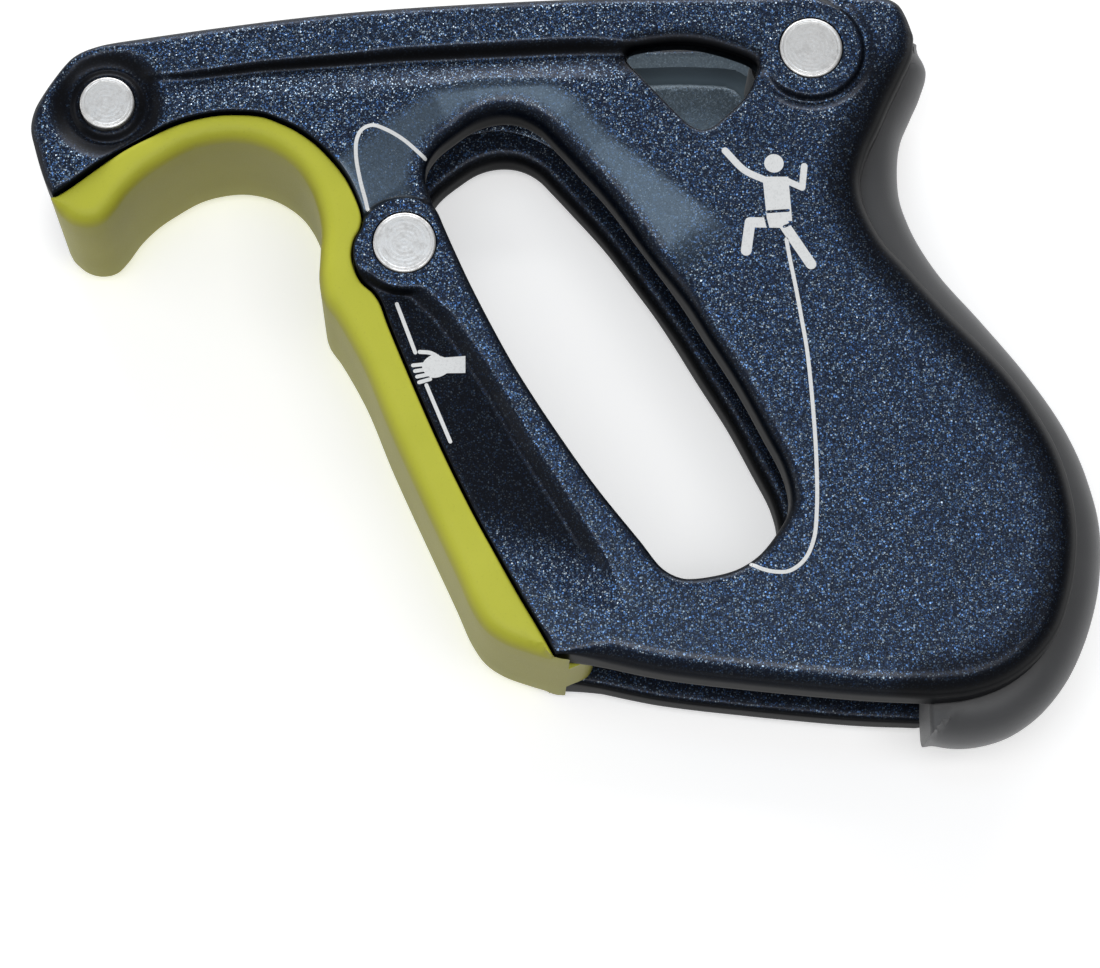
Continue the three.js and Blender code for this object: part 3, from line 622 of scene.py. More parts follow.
# ---------------------------------------------------------------- bumper
def add_bumper():
    wall = crom(BUMPER_WALL, step=0.3)
    tongue = crom(TONGUE_IN, step=0.8)
    hook = crom(PLATE_HOOK, step=0.3)
    t = np.gradient(hook, axis=0)
    t /= np.linalg.norm(t, axis=1)[:, None]
    # the free side of the hook run is on the right of its direction when the plate is on the left
    EDGE_LEFT = True
    edge = hook + np.column_stack([-t[:, 1], t[:, 0]]) * GAP * (1 if EDGE_LEFT else -1)
    edge = edge[(np.hypot(*(edge - wall[-1]).T) > 2.2) & (np.hypot(*(edge - wall[0]).T) > 0.5)]
    edge = np.vstack([wall[-1], [[1.1, -26.75], [0.15, -26.5]], edge, wall[0]])
    edge = resample(edge, 0.3)
    z_face = THICK - 1.1
    # band: the free wall, then back along the plates' edge
    loop = np.vstack([wall[:-1], edge[:-1]])
    r = np.concatenate([np.full(len(wall) - 1, 2.3), np.full(len(edge) - 1, 0.45)])
    r[0] = r[len(wall) - 1] = 0.6
    ramp = np.minimum(np.arange(len(wall) - 1), np.arange(len(wall) - 1)[::-1]) * 0.3
    r[:len(wall) - 1] = 0.6 + 1.7 * ss(0, 3.0, ramp)
    sign = area(loop) > 0
    if not sign:
        loop, r = loop[::-1].copy(), r[::-1].copy()
    band = Patch([Loop(loop, r, rings=7)], 0.8, z_face)
    inner = np.vstack([edge[:-1], (tongue if np.allclose(tongue[0], wall[-1]) else tongue)[::-1][:-1]])
    b = Build()
    up = b.patch(band)[0]
    down = b.patch(band, mirror=True)[0]
    if not sign:
        up, down = up[::-1], down[::-1]
    nw, ne = len(wall) - 1, len(edge) - 1
    # indices along the loop in the original order: wall 0..nw-1, edge nw..nw+ne-1
    col_top = up
    col_bot = down
    lp = np.vstack([wall[:-1], edge[:-1]])
    row_hi = b.row(lp, ROOM_TOP)
    row_lo = b.row(lp, THICK - ROOM_TOP)
    b.wall(col_top, row_hi)
    b.wall(row_lo, col_bot)
    b.wall([row_hi[i] for i in range(nw + 1)], [row_lo[i] for i in range(nw + 1)], closed=False)
    # tongue: the plates' edge and the inner line, flat between the plates, cut by posts and dowel
    ring_pts = np.vstack([edge[:-1], wall[:1], tongue[1:-1][::-1]])
    holes = [circle(RIVETS["hook"][0], RIVETS["hook"][1], SPACER_R + GAP, 48),
             circle(RIVETS["centre"][0], RIVETS["centre"][1], POST_R + GAP, 56),
             circle(*DOWELS["bumper_dowel"], DOWEL_R + GAP, 32)]
    flat_solid(b, ring_pts, holes, ROOM_TOP, THICK - ROOM_TOP, open_run=edge)
    return b.make("hook_bumper_finish", sharp=42)


def flat_solid(b, outline, holes, z_hi, z_lo, open_run=None, edge_round=0.0):
    """Prism over an outline less some circles, which may cut into its edge. No wall stands on open_run."""
    pts, edges = [], []
    for poly in [outline] + list(holes):
        s, m = len(pts), len(poly)
        pts += [Vector(q) for q in np.asarray(poly).tolist()]
        edges += [(s + i, s + (i + 1) % m) for i in range(m)]
    v, _, f, _, _, _ = delaunay_2d_cdt(pts, edges, [], 1, 1e-5)
    v = np.array([tuple(q) for q in v])
    f = np.array([t for t in f if len(t) == 3])
    mid = v[f].mean(1)
    ok = inside(mid, np.asarray(outline))
    for h in holes:
        ok &= ~inside(mid, h)
    f = f[ok]
    used = np.unique(f)
    new = -np.ones(len(v), int)
    new[used] = np.arange(len(used))
    v, f = v[used], new[f]
    on_run = near(v, open_run, closed=False)[0] < 1e-3 if open_run is not None else np.zeros(len(v), bool)
    count = {}
    for t in f:
        for i in range(3):
            e = (int(t[i]), int(t[(i + 1) % 3]))
            count.setdefault(tuple(sorted(e)), []).append(e)
    hi = b.points(np.column_stack([v, np.full(len(v), z_hi)]))
    lo = b.points(np.column_stack([v, np.full(len(v), z_lo)]))
    for t in f:
        b.f.append(tuple(int(hi + i) for i in t))
        b.f.append(tuple(int(lo + i) for i in t[::-1]))
    for e in count.values():
        if len(e) == 1 and not (on_run[e[0][0]] and on_run[e[0][1]]):
            i, j = e[0]
            b.f.append((hi + i, lo + i, lo + j, hi + j))


# ---------------------------------------------------------------- grip
def slab(name, parts, half, holes=(), grid=1.0, sharp=42):
    """Symmetric slab about the middle plane: parts are (points, plan rounding, height rounding) runs."""
    pts, a = runs([(p, ra) for p, ra, _ in parts], step=0.35, smooth=0)
    _, h = runs([(p, rb) for p, _, rb in parts], step=0.35, smooth=0)
    w = np.array([0.25, 0.5, 0.25])
    for _ in range(6):
        a = np.convolve(np.concatenate([a[-1:], a, a[:1]]), w, "valid")
        h = np.convolve(np.concatenate([h[-1:], h, h[:1]]), w, "valid")
    loops = [Loop(pts, a, h, rings=9 if a.max() > 2 else 4)]
    loops += [Loop(c, 0.25, hole=True, rings=1) for c in holes]
    patch = Patch(loops, grid, MID + half)
    b = Build()
    hi, lo = b.patch(patch), b.patch(patch, mirror=True)
    for i in range(len(loops)):
        b.wall(hi[i], lo[i])
    return b.make(name, sharp=sharp)


core_off = crom(CORE_OUT, step=0.5)
_t = np.gradient(core_off, axis=0)
_t /= np.linalg.norm(_t, axis=1)[:, None]
_n = np.column_stack([-_t[:, 1], _t[:, 0]])
if (core_off + _n)[len(core_off) // 2, 0] < core_off[len(core_off) // 2, 0]:
    _n = -_n
core_off = core_off + _n * GAP
HALF = ROOM_TOP - MID
PAD_END = [(50.2, -35.8), (50.1, -32.0), tuple(core_off[-1])]
pad = slab("grip_pad_finish", [(PAD_OUT, 4.9, 5.55), (PAD_END, 0.7, 0.7), (core_off[::-1][::3], 0.3, 0.3),
                               ([tuple(core_off[0]), PAD_OUT[0]], 0.7, 0.7)], HALF, grid=0.8)
core_build = Build()
flat_solid(core_build, runs([(CORE_OUT, 0), (CORE_IN, 0)], step=0.6, smooth=0)[0],
           [circle(RIVETS["heel"][0], RIVETS["heel"][1], SPACER_R + GAP, 56),
            circle(*DOWELS["grip_dowel_upper"], DOWEL_R + GAP, 32),
            circle(*DOWELS["grip_dowel_lower"], DOWEL_R + GAP, 32)], ROOM_TOP, THICK - ROOM_TOP)
core = core_build.make("grip_core_finish", sharp=30)
bumper = add_bumper()


# ---------------------------------------------------------------- rivets, spacers, dowels
def head_profile(head, top):
    """Half a rivet's head from its rim to the axis: turned rings on a barely domed face."""
    p = [(head, top - 0.34), (head - 0.06, top - 0.16), (head - 0.2, top - 0.05), (head - 0.36, top - 0.02),
         (head - 0.46, top - 0.05), (head - 0.56, top - 0.075), (head - 0.68, top - 0.05)]
    radii = np.arange(head - 0.8, 0.12, -0.085)
    for i, r in enumerate(radii):
        dome = 0.035 * (1 - (r / head) ** 2)
        ripple = 0.006 * math.cos(i * 2.4) + 0.004 * math.cos(i * 0.9 + 1)
        p.append((float(r), top - 0.045 + dome + ripple))
    p.append((0.0, top - 0.01))
    return p


rivets = []
for key, (x, y, head) in RIVETS.items():
    top = THICK - 0.02
    upper = [(SHAFT_R, THICK - 1.85), (head - 0.1, THICK - 1.85), (head, THICK - 1.75)] + head_profile(head, top)
    lower = [(r, THICK - z) for r, z in reversed(upper)]
    rivets.append((key, lathe(f"{key}_rivet_finish", x, y, lower + upper)))
posts = []
for node, key, r in (("hook_spacer", "hook", SPACER_R), ("brake_post", "centre", POST_R), ("heel_spacer", "heel", SPACER_R)):
    x, y, _ = RIVETS[key]
    a, z0, z1 = SHAFT_R + GAP, THICK - ROOM_TOP, ROOM_TOP
    prof = [(a, z0 + 0.2), (a + 0.2, z0), (r - 0.5, z0), (r - 0.15, z0 + 0.12), (r, z0 + 0.45)]
    steps = 9 if node == "brake_post" else 3
    for i in range(1, steps):
        z = z0 + 0.45 + (z1 - z0 - 0.9) * i / steps
        prof.append((r - (0.25 * math.sin(math.pi * i / steps) if node == "brake_post" else 0), z))
    prof += [(r, z1 - 0.45), (r - 0.15, z1 - 0.12), (r - 0.5, z1), (a + 0.2, z1), (a, z1 - 0.2)]
    posts.append((node, lathe(f"{node}_finish", x, y, prof)))
dowels = []
for node, (x, y) in DOWELS.items():
    z0, z1, r = PLATE - 3.2, THICK - PLATE + 3.2, DOWEL_R
    prof = [(0, z0), (r - 0.35, z0), (r - 0.1, z0 + 0.12), (r, z0 + 0.4), (r, z1 - 0.4), (r - 0.1, z1 - 0.12),
            (r - 0.35, z1), (0, z1)]
    dowels.append((node, lathe(f"{node}_finish", x, y, prof, 48)))


# ---------------------------------------------------------------- printed marks on the front plate
def strip(line, width, ends=True):
    """Outline of a line of even width with round ends."""
    t = np.gradient(line, axis=0)
    t /= np.linalg.norm(t, axis=1)[:, None]
    n = np.column_stack([-t[:, 1], t[:, 0]]) * width / 2
    out = [line + n]
    if ends:
        a = math.atan2(t[-1, 1], t[-1, 0])
        out.append(np.array([line[-1] + width / 2 * np.array([math.cos(a + s), math.sin(a + s)])
                             for s in np.linspace(math.pi / 2, -math.pi / 2, 9)[1:-1]]))
    out.append((line - n)[::-1])
    if ends:
        a = math.atan2(t[0, 1], t[0, 0])
        out.append(np.array([line[0] + width / 2 * np.array([math.cos(a + s), math.sin(a + s)])
                             for s in np.linspace(-math.pi / 2, -3 * math.pi / 2, 9)[1:-1]]))
    return np.vstack(out)


def straight(*pts, step=0.35):
    return resample(np.asarray(pts, float), step)


def add_print(name, keep, cut=()):
    """Thin raised film over the union of some outlines, following the plate's relief."""
    pts, edges = [], []
    for poly in list(keep) + list(cut):
        s, m = len(pts), len(poly)
        pts += [Vector(q) for q in np.asarray(poly).tolist()]
        edges += [(s + i, s + (i + 1) % m) for i in range(m)]
    v, _, f, _, _, _ = delaunay_2d_cdt(pts, edges, [], 1, 1e-4)
    v = np.array([tuple(q) for q in v])
    f = np.array([t for t in f if len(t) == 3])
    mid = v[f].mean(1)
    ok = np.zeros(len(f), bool)
    for poly in keep:
        ok |= inside(mid, np.asarray(poly))
    for poly in cut:
        ok &= ~inside(mid, np.asarray(poly))
    f = f[ok]
    used = np.unique(f)
    new = -np.ones(len(v), int)
    new[used] = np.arange(len(used))
    v, f = v[used], new[f]
    drop = np.zeros(len(v))
    for lp in PATCHES[0]:
        drop = np.maximum(drop, lp.drop(v)[0])
    z = THICK + relief(v) - drop
    b = Build()
    hi = b.points(np.column_stack([v, z + 0.03]))
    lo = b.points(np.column_stack([v, z - 0.06]))
    count = {}
    for t in f:
        b.f.append(tuple(int(hi + i) for i in t))
        b.f.append(tuple(int(lo + i) for i in t[::-1]))
        for i in range(3):
            e = (int(t[i]), int(t[(i + 1) % 3]))
            count[tuple(sorted(e))] = count.get(tuple(sorted(e)), []) + [e]
    for e in count.values():
        if len(e) == 1:
            i, j = e[0]
            b.f.append((hi + i, lo + i, lo + j, hi + j))
    return b.make(name, sharp=30)


LINE_W = 0.52
line_a = crom([(-17.0, 42.4), (-20.0, 44.9), (-22.4, 46.2), (-24.2, 46.7), (-25.5, 46.1), (-26.2, 44.7), (-26.3, 42.3),
               (-25.7, 38.9), (-25.0, 36.3), (-24.7, 35.0)], step=0.3)
rope = crom([(31.5, 32.4), (32.1, 28.3), (32.9, 23.7), (33.6, 19.2), (34.2, 15.0), (34.8, 7.2), (35.1, -0.5), (35.0, -6.8),
             (34.5, -10.9), (33.2, -13.7), (31.2, -15.2), (29.1, -15.3), (27.5, -14.9), (26.2, -14.3)], step=0.3)
loop_mark = add_print("loop_mark", [strip(line_a, LINE_W)])
hand_line = add_print("hand_line_mark", [strip(straight((-20.7, 21.7), (-18.2, 14.9)), LINE_W),
                                         strip(straight((-16.7, 10.4), (-13.5, 2.6)), LINE_W)])
# open hand: a rounded palm with a cuff, four fingers and a thumb
palm = crom([(-16.9, 13.9), (-15.9, 14.6), (-14.6, 14.4), (-13.6, 13.9), (-13.4, 12.9), (-14.0, 12.1), (-15.2, 11.5),
             (-16.2, 11.5), (-17.0, 12.2), (-17.3, 13.1)], closed=True, step=0.3)
cuff = np.array([(-14.2, 14.3), (-11.5, 14.5), (-11.5, 12.2), (-14.2, 12.1)])
fingers = [strip(straight((-16.2, 13.4 - 0.72 * i), (-18.5 + 0.28 * i, 13.1 - 0.78 * i)), 0.52) for i in range(4)]
thumb = strip(crom([(-15.2, 14.4), (-16.2, 14.9), (-17.6, 15.0)], step=0.3), 0.56)
hand = add_print("hand_mark", [palm, cuff, thumb] + fingers)
# climbing figure: plain limbs of even width, a round head and a belt left open
limb = 1.15
body = [circle(30.3, 41.4, 1.32, 40),
        np.array([(28.7, 39.5), (32.2, 39.5), (32.6, 33.2), (29.2, 33.2)]),
        strip(crom([(29.1, 39.0), (26.3, 40.4), (23.7, 43.2)], step=0.35), 0.95),
        strip(straight((31.8, 39.0), (34.05, 37.95)), 0.9), strip(straight((34.05, 37.95), (34.4, 41.0)), 0.9),
        strip(straight((31.2, 32.95), (26.9, 33.0)), 1.45), strip(straight((26.9, 33.0), (26.3, 29.0)), 1.45),
        strip(straight((31.4, 32.8), (35.0, 27.1)), 1.45)]
belt = [strip(straight((29.3, 34.5), (32.1, 34.7)), 0.42), strip(straight((29.0, 33.6), (29.3, 32.3)), 0.36),
        strip(straight((31.5, 32.4), (32.6, 32.9)), 0.4)]
figure = add_print("figure_mark", body, belt)
rope_mark = add_print("rope_mark", [strip(rope[6:], LINE_W)])


# ---------------------------------------------------------------- materials
def material(name):
    m = bpy.data.materials.new(name)
    m.use_nodes = True
    nt = m.node_tree
    nt.nodes.clear()
    out = nt.nodes.new("ShaderNodeOutputMaterial")
    bsdf = nt.nodes.new("ShaderNodeBsdfPrincipled")
    nt.links.new(bsdf.outputs[0], out.inputs[0])
    return m, nt, bsdf


def node(nt, kind, **values):
    n = nt.nodes.new(kind)
    for k, v in values.items():
        if hasattr(n, k):
            setattr(n, k, v)
        else:
            n.inputs[k.replace("_", " ")].default_value = v
    return n


def math_node(nt, op, a, b=None, c=None, clamp=False):
    n = nt.nodes.new("ShaderNodeMath")
    n.operation, n.use_clamp = op, clamp
    for i, v in enumerate((a, b, c)):
        if v is None:
            continue
        if isinstance(v, (int, float)):
            n.inputs[i].default_value = v
        else:
            nt.links.new(v, n.inputs[i])
    return n.outputs[0]


def mix_rgb(nt, fac, a, b, blend="MIX"):
    n = nt.nodes.new("ShaderNodeMix")
    n.data_type, n.blend_type = "RGBA", blend
    for sock, v in ((n.inputs[0], fac), (n.inputs[6], a), (n.inputs[7], b)):
        if isinstance(v, (int, float)):
            sock.default_value = v
        elif isinstance(v, tuple):
            sock.default_value = (*v, 1.0) if len(v) == 3 else v
        else:
            nt.links.new(v, sock)
    return n.outputs[2]


def ramp(nt, fac, stops):
    n = nt.nodes.new("ShaderNodeValToRGB")
    while len(n.color_ramp.elements) > 1:
        n.color_ramp.elements.remove(n.color_ramp.elements[-1])
    for i, (pos, col) in enumerate(stops):
        e = n.color_ramp.elements[0] if i == 0 else n.color_ramp.elements.new(pos)
        e.position = pos
        e.color = (*col, 1.0) if isinstance(col, tuple) else (col, col, col, 1.0)
    nt.links.new(fac, n.inputs[0])
    return n.outputs[0]


def object_mm(nt, scale=1000.0):
    tc = nt.nodes.new("ShaderNodeTexCoord")
    mp = nt.nodes.new("ShaderNodeMapping")
    mp.inputs["Scale"].default_value = (scale,) * 3
    nt.links.new(tc.outputs["Object"], mp.inputs[0])
    return mp.outputs[0]


def noise(nt, vec, scale, detail=3.0, rough=0.5):
    n = nt.nodes.new("ShaderNodeTexNoise")
    n.inputs["Scale"].default_value, n.inputs["Detail"].default_value = scale, detail
    n.inputs["Roughness"].default_value = rough
    nt.links.new(vec, n.inputs["Vector"])
    return n.outputs["Fac"]


def bump(nt, height, strength, distance, normal=None):
    n = nt.nodes.new("ShaderNodeBump")
    n.inputs["Strength"].default_value, n.inputs["Distance"].default_value = strength, distance
    nt.links.new(height, n.inputs["Height"])
    if normal is not None:
        nt.links.new(normal, n.inputs["Normal"])
    return n.outputs[0]


def flake_paint():
    m, nt, p = material("flake_paint_finish")
    vec = object_mm(nt)
    attr = nt.nodes.new("ShaderNodeAttribute")
    # the finish attribute holds painted light: red is painted shade, green a painted reflection on the bevel, blue
    # painted light on the rear plate's inner face
    attr.attribute_name = "finish"
    sep = nt.nodes.new("ShaderNodeSeparateColor")
    nt.links.new(attr.outputs["Color"], sep.inputs[0])
    pocket, bevel = sep.outputs[0], sep.outputs[1]
    layers = []
    for scale, power in ((5.4, 4.4), (3.6, 8.0)):
        vo = nt.nodes.new("ShaderNodeTexVoronoi")
        vo.inputs["Scale"].default_value = scale
        vo.inputs["Randomness"].default_value = 1.0
        nt.links.new(vec, vo.inputs["Vector"])
        sc = nt.nodes.new("ShaderNodeSeparateColor")
        nt.links.new(vo.outputs["Color"], sc.inputs[0])
        disc = math_node(nt, "SUBTRACT", 1.0, ramp(nt, vo.outputs["Distance"], [(0.0, 0.0), (0.34, 0.0), (0.6, 1.0)]))
        bright = math_node(nt, "POWER", sc.outputs[0], power)
        layers.append((math_node(nt, "MULTIPLY", disc, bright), sc.outputs[1], vo.outputs["Color"]))
    amount = math_node(nt, "MAXIMUM", layers[0][0], layers[1][0])
    # cloudy density, and fewer flakes in the pocket and on the bevel, as part of their painted shade and painted
    # reflection
    cloud = ramp(nt, noise(nt, vec, 0.09, 2.0), [(0.3, 0.78), (0.7, 1.0)])
    amount = math_node(nt, "MULTIPLY", amount, cloud)
    keep = math_node(nt, "MULTIPLY", math_node(nt, "SUBTRACT", 1.0, math_node(nt, "MULTIPLY", pocket, 0.9)),
                     math_node(nt, "SUBTRACT", 1.0, math_node(nt, "MULTIPLY", bevel, 0.8)))
    amount = math_node(nt, "MULTIPLY", amount, keep)
    # the flakes are thinned out on walls and roundings, as painted shade there
    geo0 = nt.nodes.new("ShaderNodeNewGeometry")
    xyz = nt.nodes.new("ShaderNodeSeparateXYZ")
    nt.links.new(geo0.outputs["Normal"], xyz.inputs[0])
    flat = ramp(nt, math_node(nt, "ABSOLUTE", xyz.outputs[2]), [(0.0, 0.0), (0.60, 0.02), (0.90, 0.22), (0.985, 1.0)])
    amount = math_node(nt, "MULTIPLY", amount, flat)
    tint = ramp(nt, layers[0][1], [(0.0, (0.05, 0.16, 0.50)), (0.35, (0.18, 0.42, 0.92)), (0.7, (0.52, 0.76, 1.00)),
                                   (1.0, (0.84, 0.94, 1.0))])
    # painted shade: near-black paint in the pocket and the other shaded hollows
    deep = mix_rgb(nt, pocket, (0.0040, 0.0100, 0.0265), (0.0018, 0.0028, 0.0065))
    # painted reflection: a lighter grey-blue paint on the bevel
    deep = mix_rgb(nt, bevel, deep, (0.040, 0.060, 0.084))
    # painted shade: the paint is darker on walls and steep roundings
    painted_wall_shade = ramp(nt, math_node(nt, "ABSOLUTE", xyz.outputs[2]), [(0.0, 0.15), (0.70, 0.25), (0.97, 1.0)])
    deep = mix_rgb(nt, 1.0, deep, painted_wall_shade, "MULTIPLY")
    base = mix_rgb(nt, amount, deep, tint)
    # painted light: a pale grey-blue on the rear plate's inner face behind the keyhole
    base = mix_rgb(nt, sep.outputs[2], base, (0.260, 0.345, 0.415))
    nt.links.new(base, p.inputs["Base Color"])
    # walls also lose metal, specular and most coat, which keeps them dark
    metal = ramp(nt, math_node(nt, "ABSOLUTE", xyz.outputs[2]), [(0.0, 0.0), (0.50, 0.05), (0.80, 0.45), (0.95, 0.85)])
    nt.links.new(math_node(nt, "MULTIPLY", metal, math_node(nt, "SUBTRACT", 1.0, math_node(nt, "MULTIPLY", sep.outputs[2], 0.7))),
                 p.inputs["Metallic"])
    nt.links.new(ramp(nt, math_node(nt, "ABSOLUTE", xyz.outputs[2]), [(0.0, 0.02), (0.50, 0.04), (0.95, 0.5)]),
                 p.inputs["Specular IOR Level"])
    p.inputs["Roughness"].default_value = 0.42
    # each flake lies at its own small angle
    geo = nt.nodes.new("ShaderNodeNewGeometry")
    off = nt.nodes.new("ShaderNodeVectorMath")
    off.operation = "SUBTRACT"
    nt.links.new(layers[0][2], off.inputs[0])
    off.inputs[1].default_value = (0.5, 0.5, 0.5)
    sca = nt.nodes.new("ShaderNodeVectorMath")
    sca.operation = "SCALE"
    nt.links.new(off.outputs[0], sca.inputs[0])
    nt.links.new(math_node(nt, "MULTIPLY", math_node(nt, "MULTIPLY", flat, keep), 0.55), sca.inputs["Scale"])
    add = nt.nodes.new("ShaderNodeVectorMath")
    add.operation = "ADD"
    nt.links.new(geo.outputs["Normal"], add.inputs[0])
    nt.links.new(sca.outputs[0], add.inputs[1])
    nrm = nt.nodes.new("ShaderNodeVectorMath")
    nrm.operation = "NORMALIZE"
    nt.links.new(add.outputs[0], nrm.inputs[0])
    nt.links.new(nrm.outputs[0], p.inputs["Normal"])
    coat = ramp(nt, math_node(nt, "ABSOLUTE", xyz.outputs[2]), [(0.0, 0.03), (0.60, 0.05), (0.90, 0.20), (0.99, 0.46)])
    coat = math_node(nt, "MULTIPLY", coat, math_node(nt, "ADD", 1.0, math_node(nt, "MULTIPLY", bevel, 1.0)))
    gloss = math_node(nt, "SUBTRACT", 1.0, math_node(nt, "MULTIPLY", pocket, 0.75))
    nt.links.new(math_node(nt, "MULTIPLY", coat, gloss), p.inputs["Coat Weight"])
    nt.links.new(math_node(nt, "SUBTRACT", 0.24, math_node(nt, "MULTIPLY", bevel, 0.07)), p.inputs["Coat Roughness"])
    p.inputs["Coat IOR"].default_value = 1.5
    peel = bump(nt, noise(nt, vec, 1.3, 2.0), 0.10, 0.00006)
    nt.links.new(peel, p.inputs["Coat Normal"])
    return m


def lime_polymer():
    m, nt, p = material("lime_polymer_finish")
    vec = object_mm(nt)
    wide, fine = noise(nt, vec, 0.06, 3.0), noise(nt, vec, 7.0, 2.0)
    c = mix_rgb(nt, ramp(nt, wide, [(0.35, 0.0), (0.65, 1.0)]), (0.500, 0.512, 0.038), (0.548, 0.556, 0.050))
    speck = ramp(nt, noise(nt, vec, 2.6, 4.0, 0.7), [(0.30, 0.90), (0.42, 1.0)])
    c = mix_rgb(nt, 1.0, c, speck, "MULTIPLY")
    # painted shade: the lime is darker on its walls and roundings than on its faces
    geo = nt.nodes.new("ShaderNodeNewGeometry")
    xyz = nt.nodes.new("ShaderNodeSeparateXYZ")
    nt.links.new(geo.outputs["Normal"], xyz.inputs[0])
    wall = ramp(nt, math_node(nt, "ABSOLUTE", xyz.outputs[2]), [(0.0, (0.46, 0.42, 0.52)), (0.45, (0.66, 0.62, 0.70)), (0.92, (1.0, 1.0, 1.0))])
    c = mix_rgb(nt, 1.0, c, wall, "MULTIPLY")
    nt.links.new(c, p.inputs["Base Color"])
    nt.links.new(ramp(nt, fine, [(0.2, 0.46), (0.8, 0.60)]), p.inputs["Roughness"])
    p.inputs["Subsurface Weight"].default_value = 0.18
    p.inputs["Subsurface Radius"].default_value = (1.0, 0.9, 0.25)
    p.inputs["Subsurface Scale"].default_value = 0.0012
    p.inputs["Specular IOR Level"].default_value = 0.35
    nt.links.new(bump(nt, fine, 0.22, 0.00004), p.inputs["Normal"])
    return m


def rubber(name, lo, hi, rough):
    m, nt, p = material(name)
    vec = object_mm(nt)
    fine = noise(nt, vec, 5.0, 4.0, 0.65)
    wide = noise(nt, vec, 0.08, 3.0)
    c = mix_rgb(nt, ramp(nt, wide, [(0.3, 0.0), (0.7, 1.0)]), lo, hi)
    nt.links.new(c, p.inputs["Base Color"])
    nt.links.new(ramp(nt, fine, [(0.25, rough - 0.05), (0.75, rough + 0.07)]), p.inputs["Roughness"])
    p.inputs["Specular IOR Level"].default_value = 0.5
    p.inputs["Sheen Weight"].default_value = 0.12
    p.inputs["Sheen Roughness"].default_value = 0.5
    nt.links.new(bump(nt, fine, 0.30, 0.00005), p.inputs["Normal"])
    return m


def steel(name, colour, rough, mottled):
    m, nt, p = material(name)
    vec = object_mm(nt)
    blotch = noise(nt, vec, 0.9, 5.0, 0.65)
    grit = noise(nt, vec, 9.0, 3.0, 0.6)
    dark = tuple(0.72 * k for k in colour)
    c = mix_rgb(nt, ramp(nt, blotch, [(0.36, 0.0), (0.56, 1.0)]), dark if mottled else tuple(0.9 * k for k in colour), colour)
    nt.links.new(c, p.inputs["Base Color"])
    p.inputs["Metallic"].default_value = 1.0
    nt.links.new(ramp(nt, blotch, [(0.3, rough + 0.12), (0.7, rough - 0.04)]), p.inputs["Roughness"])
    nt.links.new(bump(nt, grit, 0.35, 0.00004), p.inputs["Normal"])
    return m


def ink():
    m, nt, p = material("printed_ink_finish")
    vec = object_mm(nt)
    wear = ramp(nt, noise(nt, vec, 3.5, 4.0, 0.7), [(0.30, 0.82), (0.5, 1.0)])
    c = mix_rgb(nt, 1.0, (0.76, 0.77, 0.77), wear, "MULTIPLY")
    nt.links.new(c, p.inputs["Base Color"])
    p.inputs["Roughness"].default_value = 0.5
    nt.links.new(bump(nt, noise(nt, vec, 6.0), 0.2, 0.00002), p.inputs["Normal"])
    return m


def mark_painted_light(ob):
    """Vertex colour of painted light. Red is painted shade in the pocket and other hollows and on the plates' inner
    faces and walls. Green is a painted reflection on the bevel. Blue is painted light on the rear plate's inner face
    behind the keyhole.
    """
    me = ob.data
    co = np.empty(len(me.vertices) * 3)
    me.vertices.foreach_get("co", co)
    co = co.reshape(-1, 3) * 1000
    p = co[:, :2] + (SX, SY)
    pocket, bevel = painted_shade_and_sheen(p)
    z = co[:, 2]
    depth = np.maximum(ss(23.5, 25, z), ss(4.5, 3, z))
    # painted light: a pale grey-blue for the rear plate's inner face behind the keyhole
    inner = ((z > 3) & (z < 9)) * ss(50.5, 53.0, p[:, 1]) * ss(2, 8, p[:, 0]) * ss(0.6, 1.2, near(p, plate_pts)[0])
    inner *= np.interp(z, [4.2, 7.4], [1.0, 0.55])
    # painted shade: the plates' inner faces and walls, beside the rope, get the pocket's near-black paint and fewer
    # flakes
    pocket = np.maximum(pocket * depth, 0.78 * (1 - depth))
    col = np.column_stack([pocket, bevel * depth, inner * (1 - depth), np.ones(len(p))])
    # the attribute named finish holds these painted light masks
    at = me.color_attributes.new(name="finish", type="FLOAT_COLOR", domain="POINT")
    at.data.foreach_set("color", col.ravel())


PAINT = flake_paint()
LIME = lime_polymer()
RUBBER = rubber("grip_rubber_finish", (0.060, 0.061, 0.064), (0.074, 0.075, 0.079), 0.50)
CORE_M = rubber("core_polymer_finish", (0.012, 0.0125, 0.014), (0.018, 0.018, 0.020), 0.45)
RIVET_M = steel("rivet_steel_finish", (0.84, 0.835, 0.825), 0.42, True)
SPACER_M = steel("spacer_steel_finish", (0.55, 0.555, 0.56), 0.32, False)
INK = ink()


def dress(ob, mat, slot, *nodes):
    ob.data.materials.clear()
    ob.data.materials.append(mat)
    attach(ob, "root")
    if nodes:
        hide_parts(*nodes)


dress(front, PAINT, "flake_paint", "front_side_plate")
dress(rear, PAINT, "flake_paint", "rear_side_plate")
dress(bumper, LIME, "lime_polymer", "hook_bumper")
dress(pad, RUBBER, "grip_rubber", "grip_pad")
dress(core, CORE_M, "core_polymer", "grip_core")
for key, ob in rivets:
    dress(ob, RIVET_M, "rivet_steel", f"{key}_rivet")
for key, ob in posts + dowels:
    dress(ob, SPACER_M, "spacer_steel", key)
for ob in (front, rear):
    mark_painted_light(ob)
for ob in (loop_mark, hand_line, hand, figure, rope_mark):
    dress(ob, INK, "flake_paint")


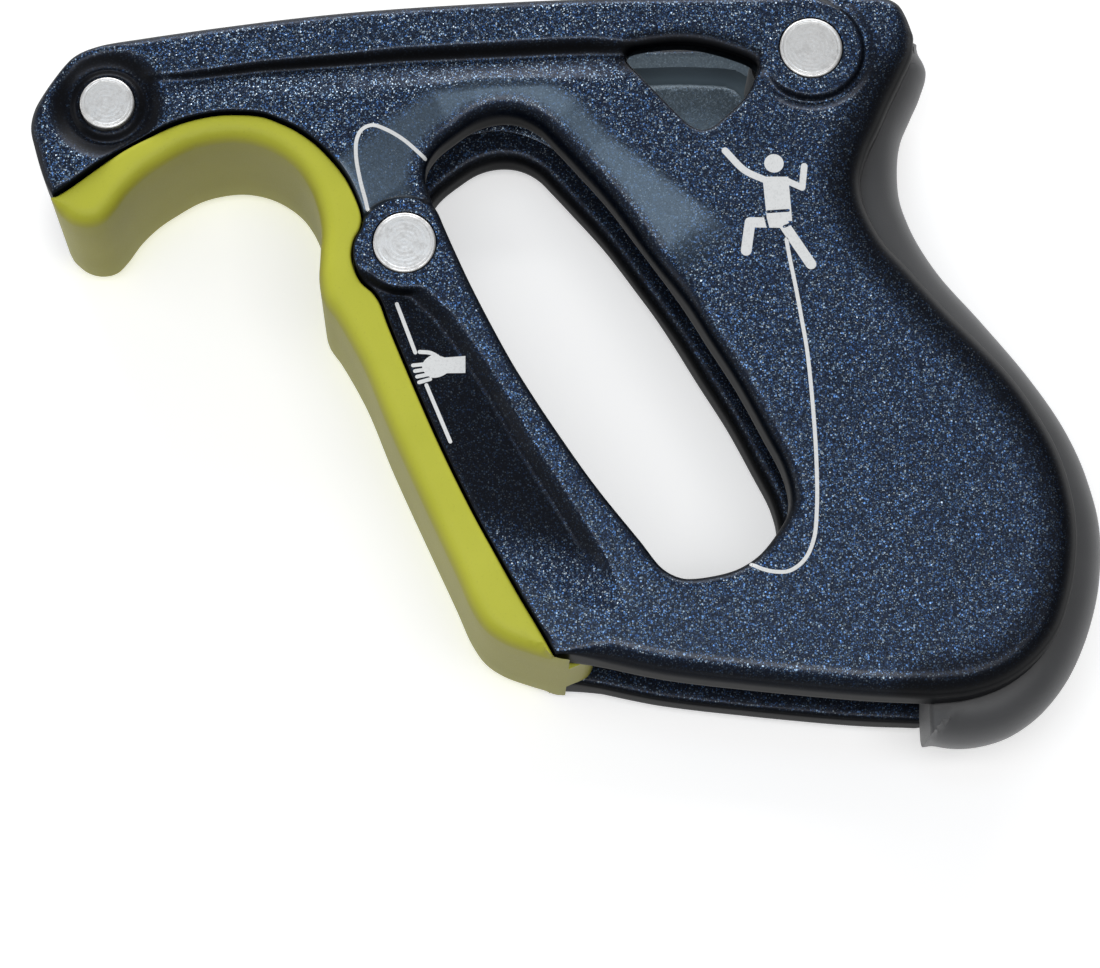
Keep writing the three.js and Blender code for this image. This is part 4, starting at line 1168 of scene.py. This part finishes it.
# ---------------------------------------------------------------- floor, light and camera
def add_floor():
    me = bpy.data.meshes.new("floor")
    s, z = 3.0, -0.0004
    me.from_pydata([(-s, -s, z), (s, -s, z), (s, s, z), (-s, s, z)], [], [(0, 1, 2, 3)])
    ob = bpy.data.objects.new("floor", me)
    bpy.context.scene.collection.objects.link(ob)
    m, nt, p = material("floor_finish")
    vec = object_mm(nt, 1.0)
    c = mix_rgb(nt, noise(nt, vec, 3.0), (0.80, 0.80, 0.80), (0.83, 0.83, 0.83))
    nt.links.new(c, p.inputs["Base Color"])
    p.inputs["Roughness"].default_value = 0.9
    p.inputs["Specular IOR Level"].default_value = 0.1
    p.inputs["Emission Color"].default_value = (1, 1, 1, 1)
    p.inputs["Emission Strength"].default_value = FLOOR_GLOW
    me.materials.append(m)


def area_light(name, where, at, size, radiance, colour=(1, 1, 1)):
    ld = bpy.data.lights.new(name, "AREA")
    ld.shape, ld.size, ld.size_y = "RECTANGLE", size[0], size[1]
    ld.energy = radiance * math.pi * size[0] * size[1]
    ld.color = colour
    ob = bpy.data.objects.new(name, ld)
    bpy.context.scene.collection.objects.link(ob)
    d = (Vector(at) - Vector(where)).normalized()
    ob.location = where
    ob.rotation_euler = d.to_track_quat("-Z", "Y").to_euler()
    return ob


FLOOR_GLOW = 0.46
add_floor()
for tag, (x0, x1, y0, y1) in (("a", (-170, 8, 32, 128)), ("b", (8, 70, 28, 92))):
    where = ((x0 + x1) / 2 - SX, (y0 + y1) / 2 - SY)
    area_light("bevel_softbox_" + tag, (where[0] / 1000, where[1] / 1000, 0.628), (where[0] / 1000, where[1] / 1000, 0),
               ((x1 - x0) / 1000, (y1 - y0) / 1000), 2.5, (0.56, 0.78, 1.0))
area_light("overhead_softbox", (0.0, -0.135, 0.66), (0.0, -0.135, 0), (0.64, 0.21), 5.0)
area_light("north_softbox", (0.0, 1.00, 0.44), (0, 0, 0), (1.1, 0.45), 5.0)
area_light("west_softbox", (-0.90, 0.10, 0.42), (0, 0, 0), (0.7, 0.45), 1.3)
world = bpy.data.worlds.new("studio")
world.use_nodes = True
world.node_tree.nodes["Background"].inputs[0].default_value = (1, 1, 1, 1)
world.node_tree.nodes["Background"].inputs[1].default_value = 0.20
bpy.context.scene.world = world
bpy.context.scene.view_settings.view_transform = "Standard"

cam_data = bpy.data.cameras.new("camera")
cam_data.sensor_fit, cam_data.sensor_width, cam_data.lens = "HORIZONTAL", 36.0, 3590 / 1100 * 36
cam_data.clip_start, cam_data.clip_end = 0.01, 20
cam = bpy.data.objects.new("camera", cam_data)
right, up_v, fwd = ((0.99977599, -0.00517794, 0.02052203), (0.0, 0.96961293, 0.24464416), (0.02116517, 0.24458936, -0.96939573))
mat = Matrix([[right[i], up_v[i], -fwd[i]] for i in range(3)]).to_4x4()
mat.translation = Vector(((-10.350 - SX) / 1000, (-119.604 - SY) / 1000, 0.488035))
cam.matrix_world = mat
bpy.context.scene.collection.objects.link(cam)
bpy.context.scene.camera = cam

bpy.context.view_layer.update()
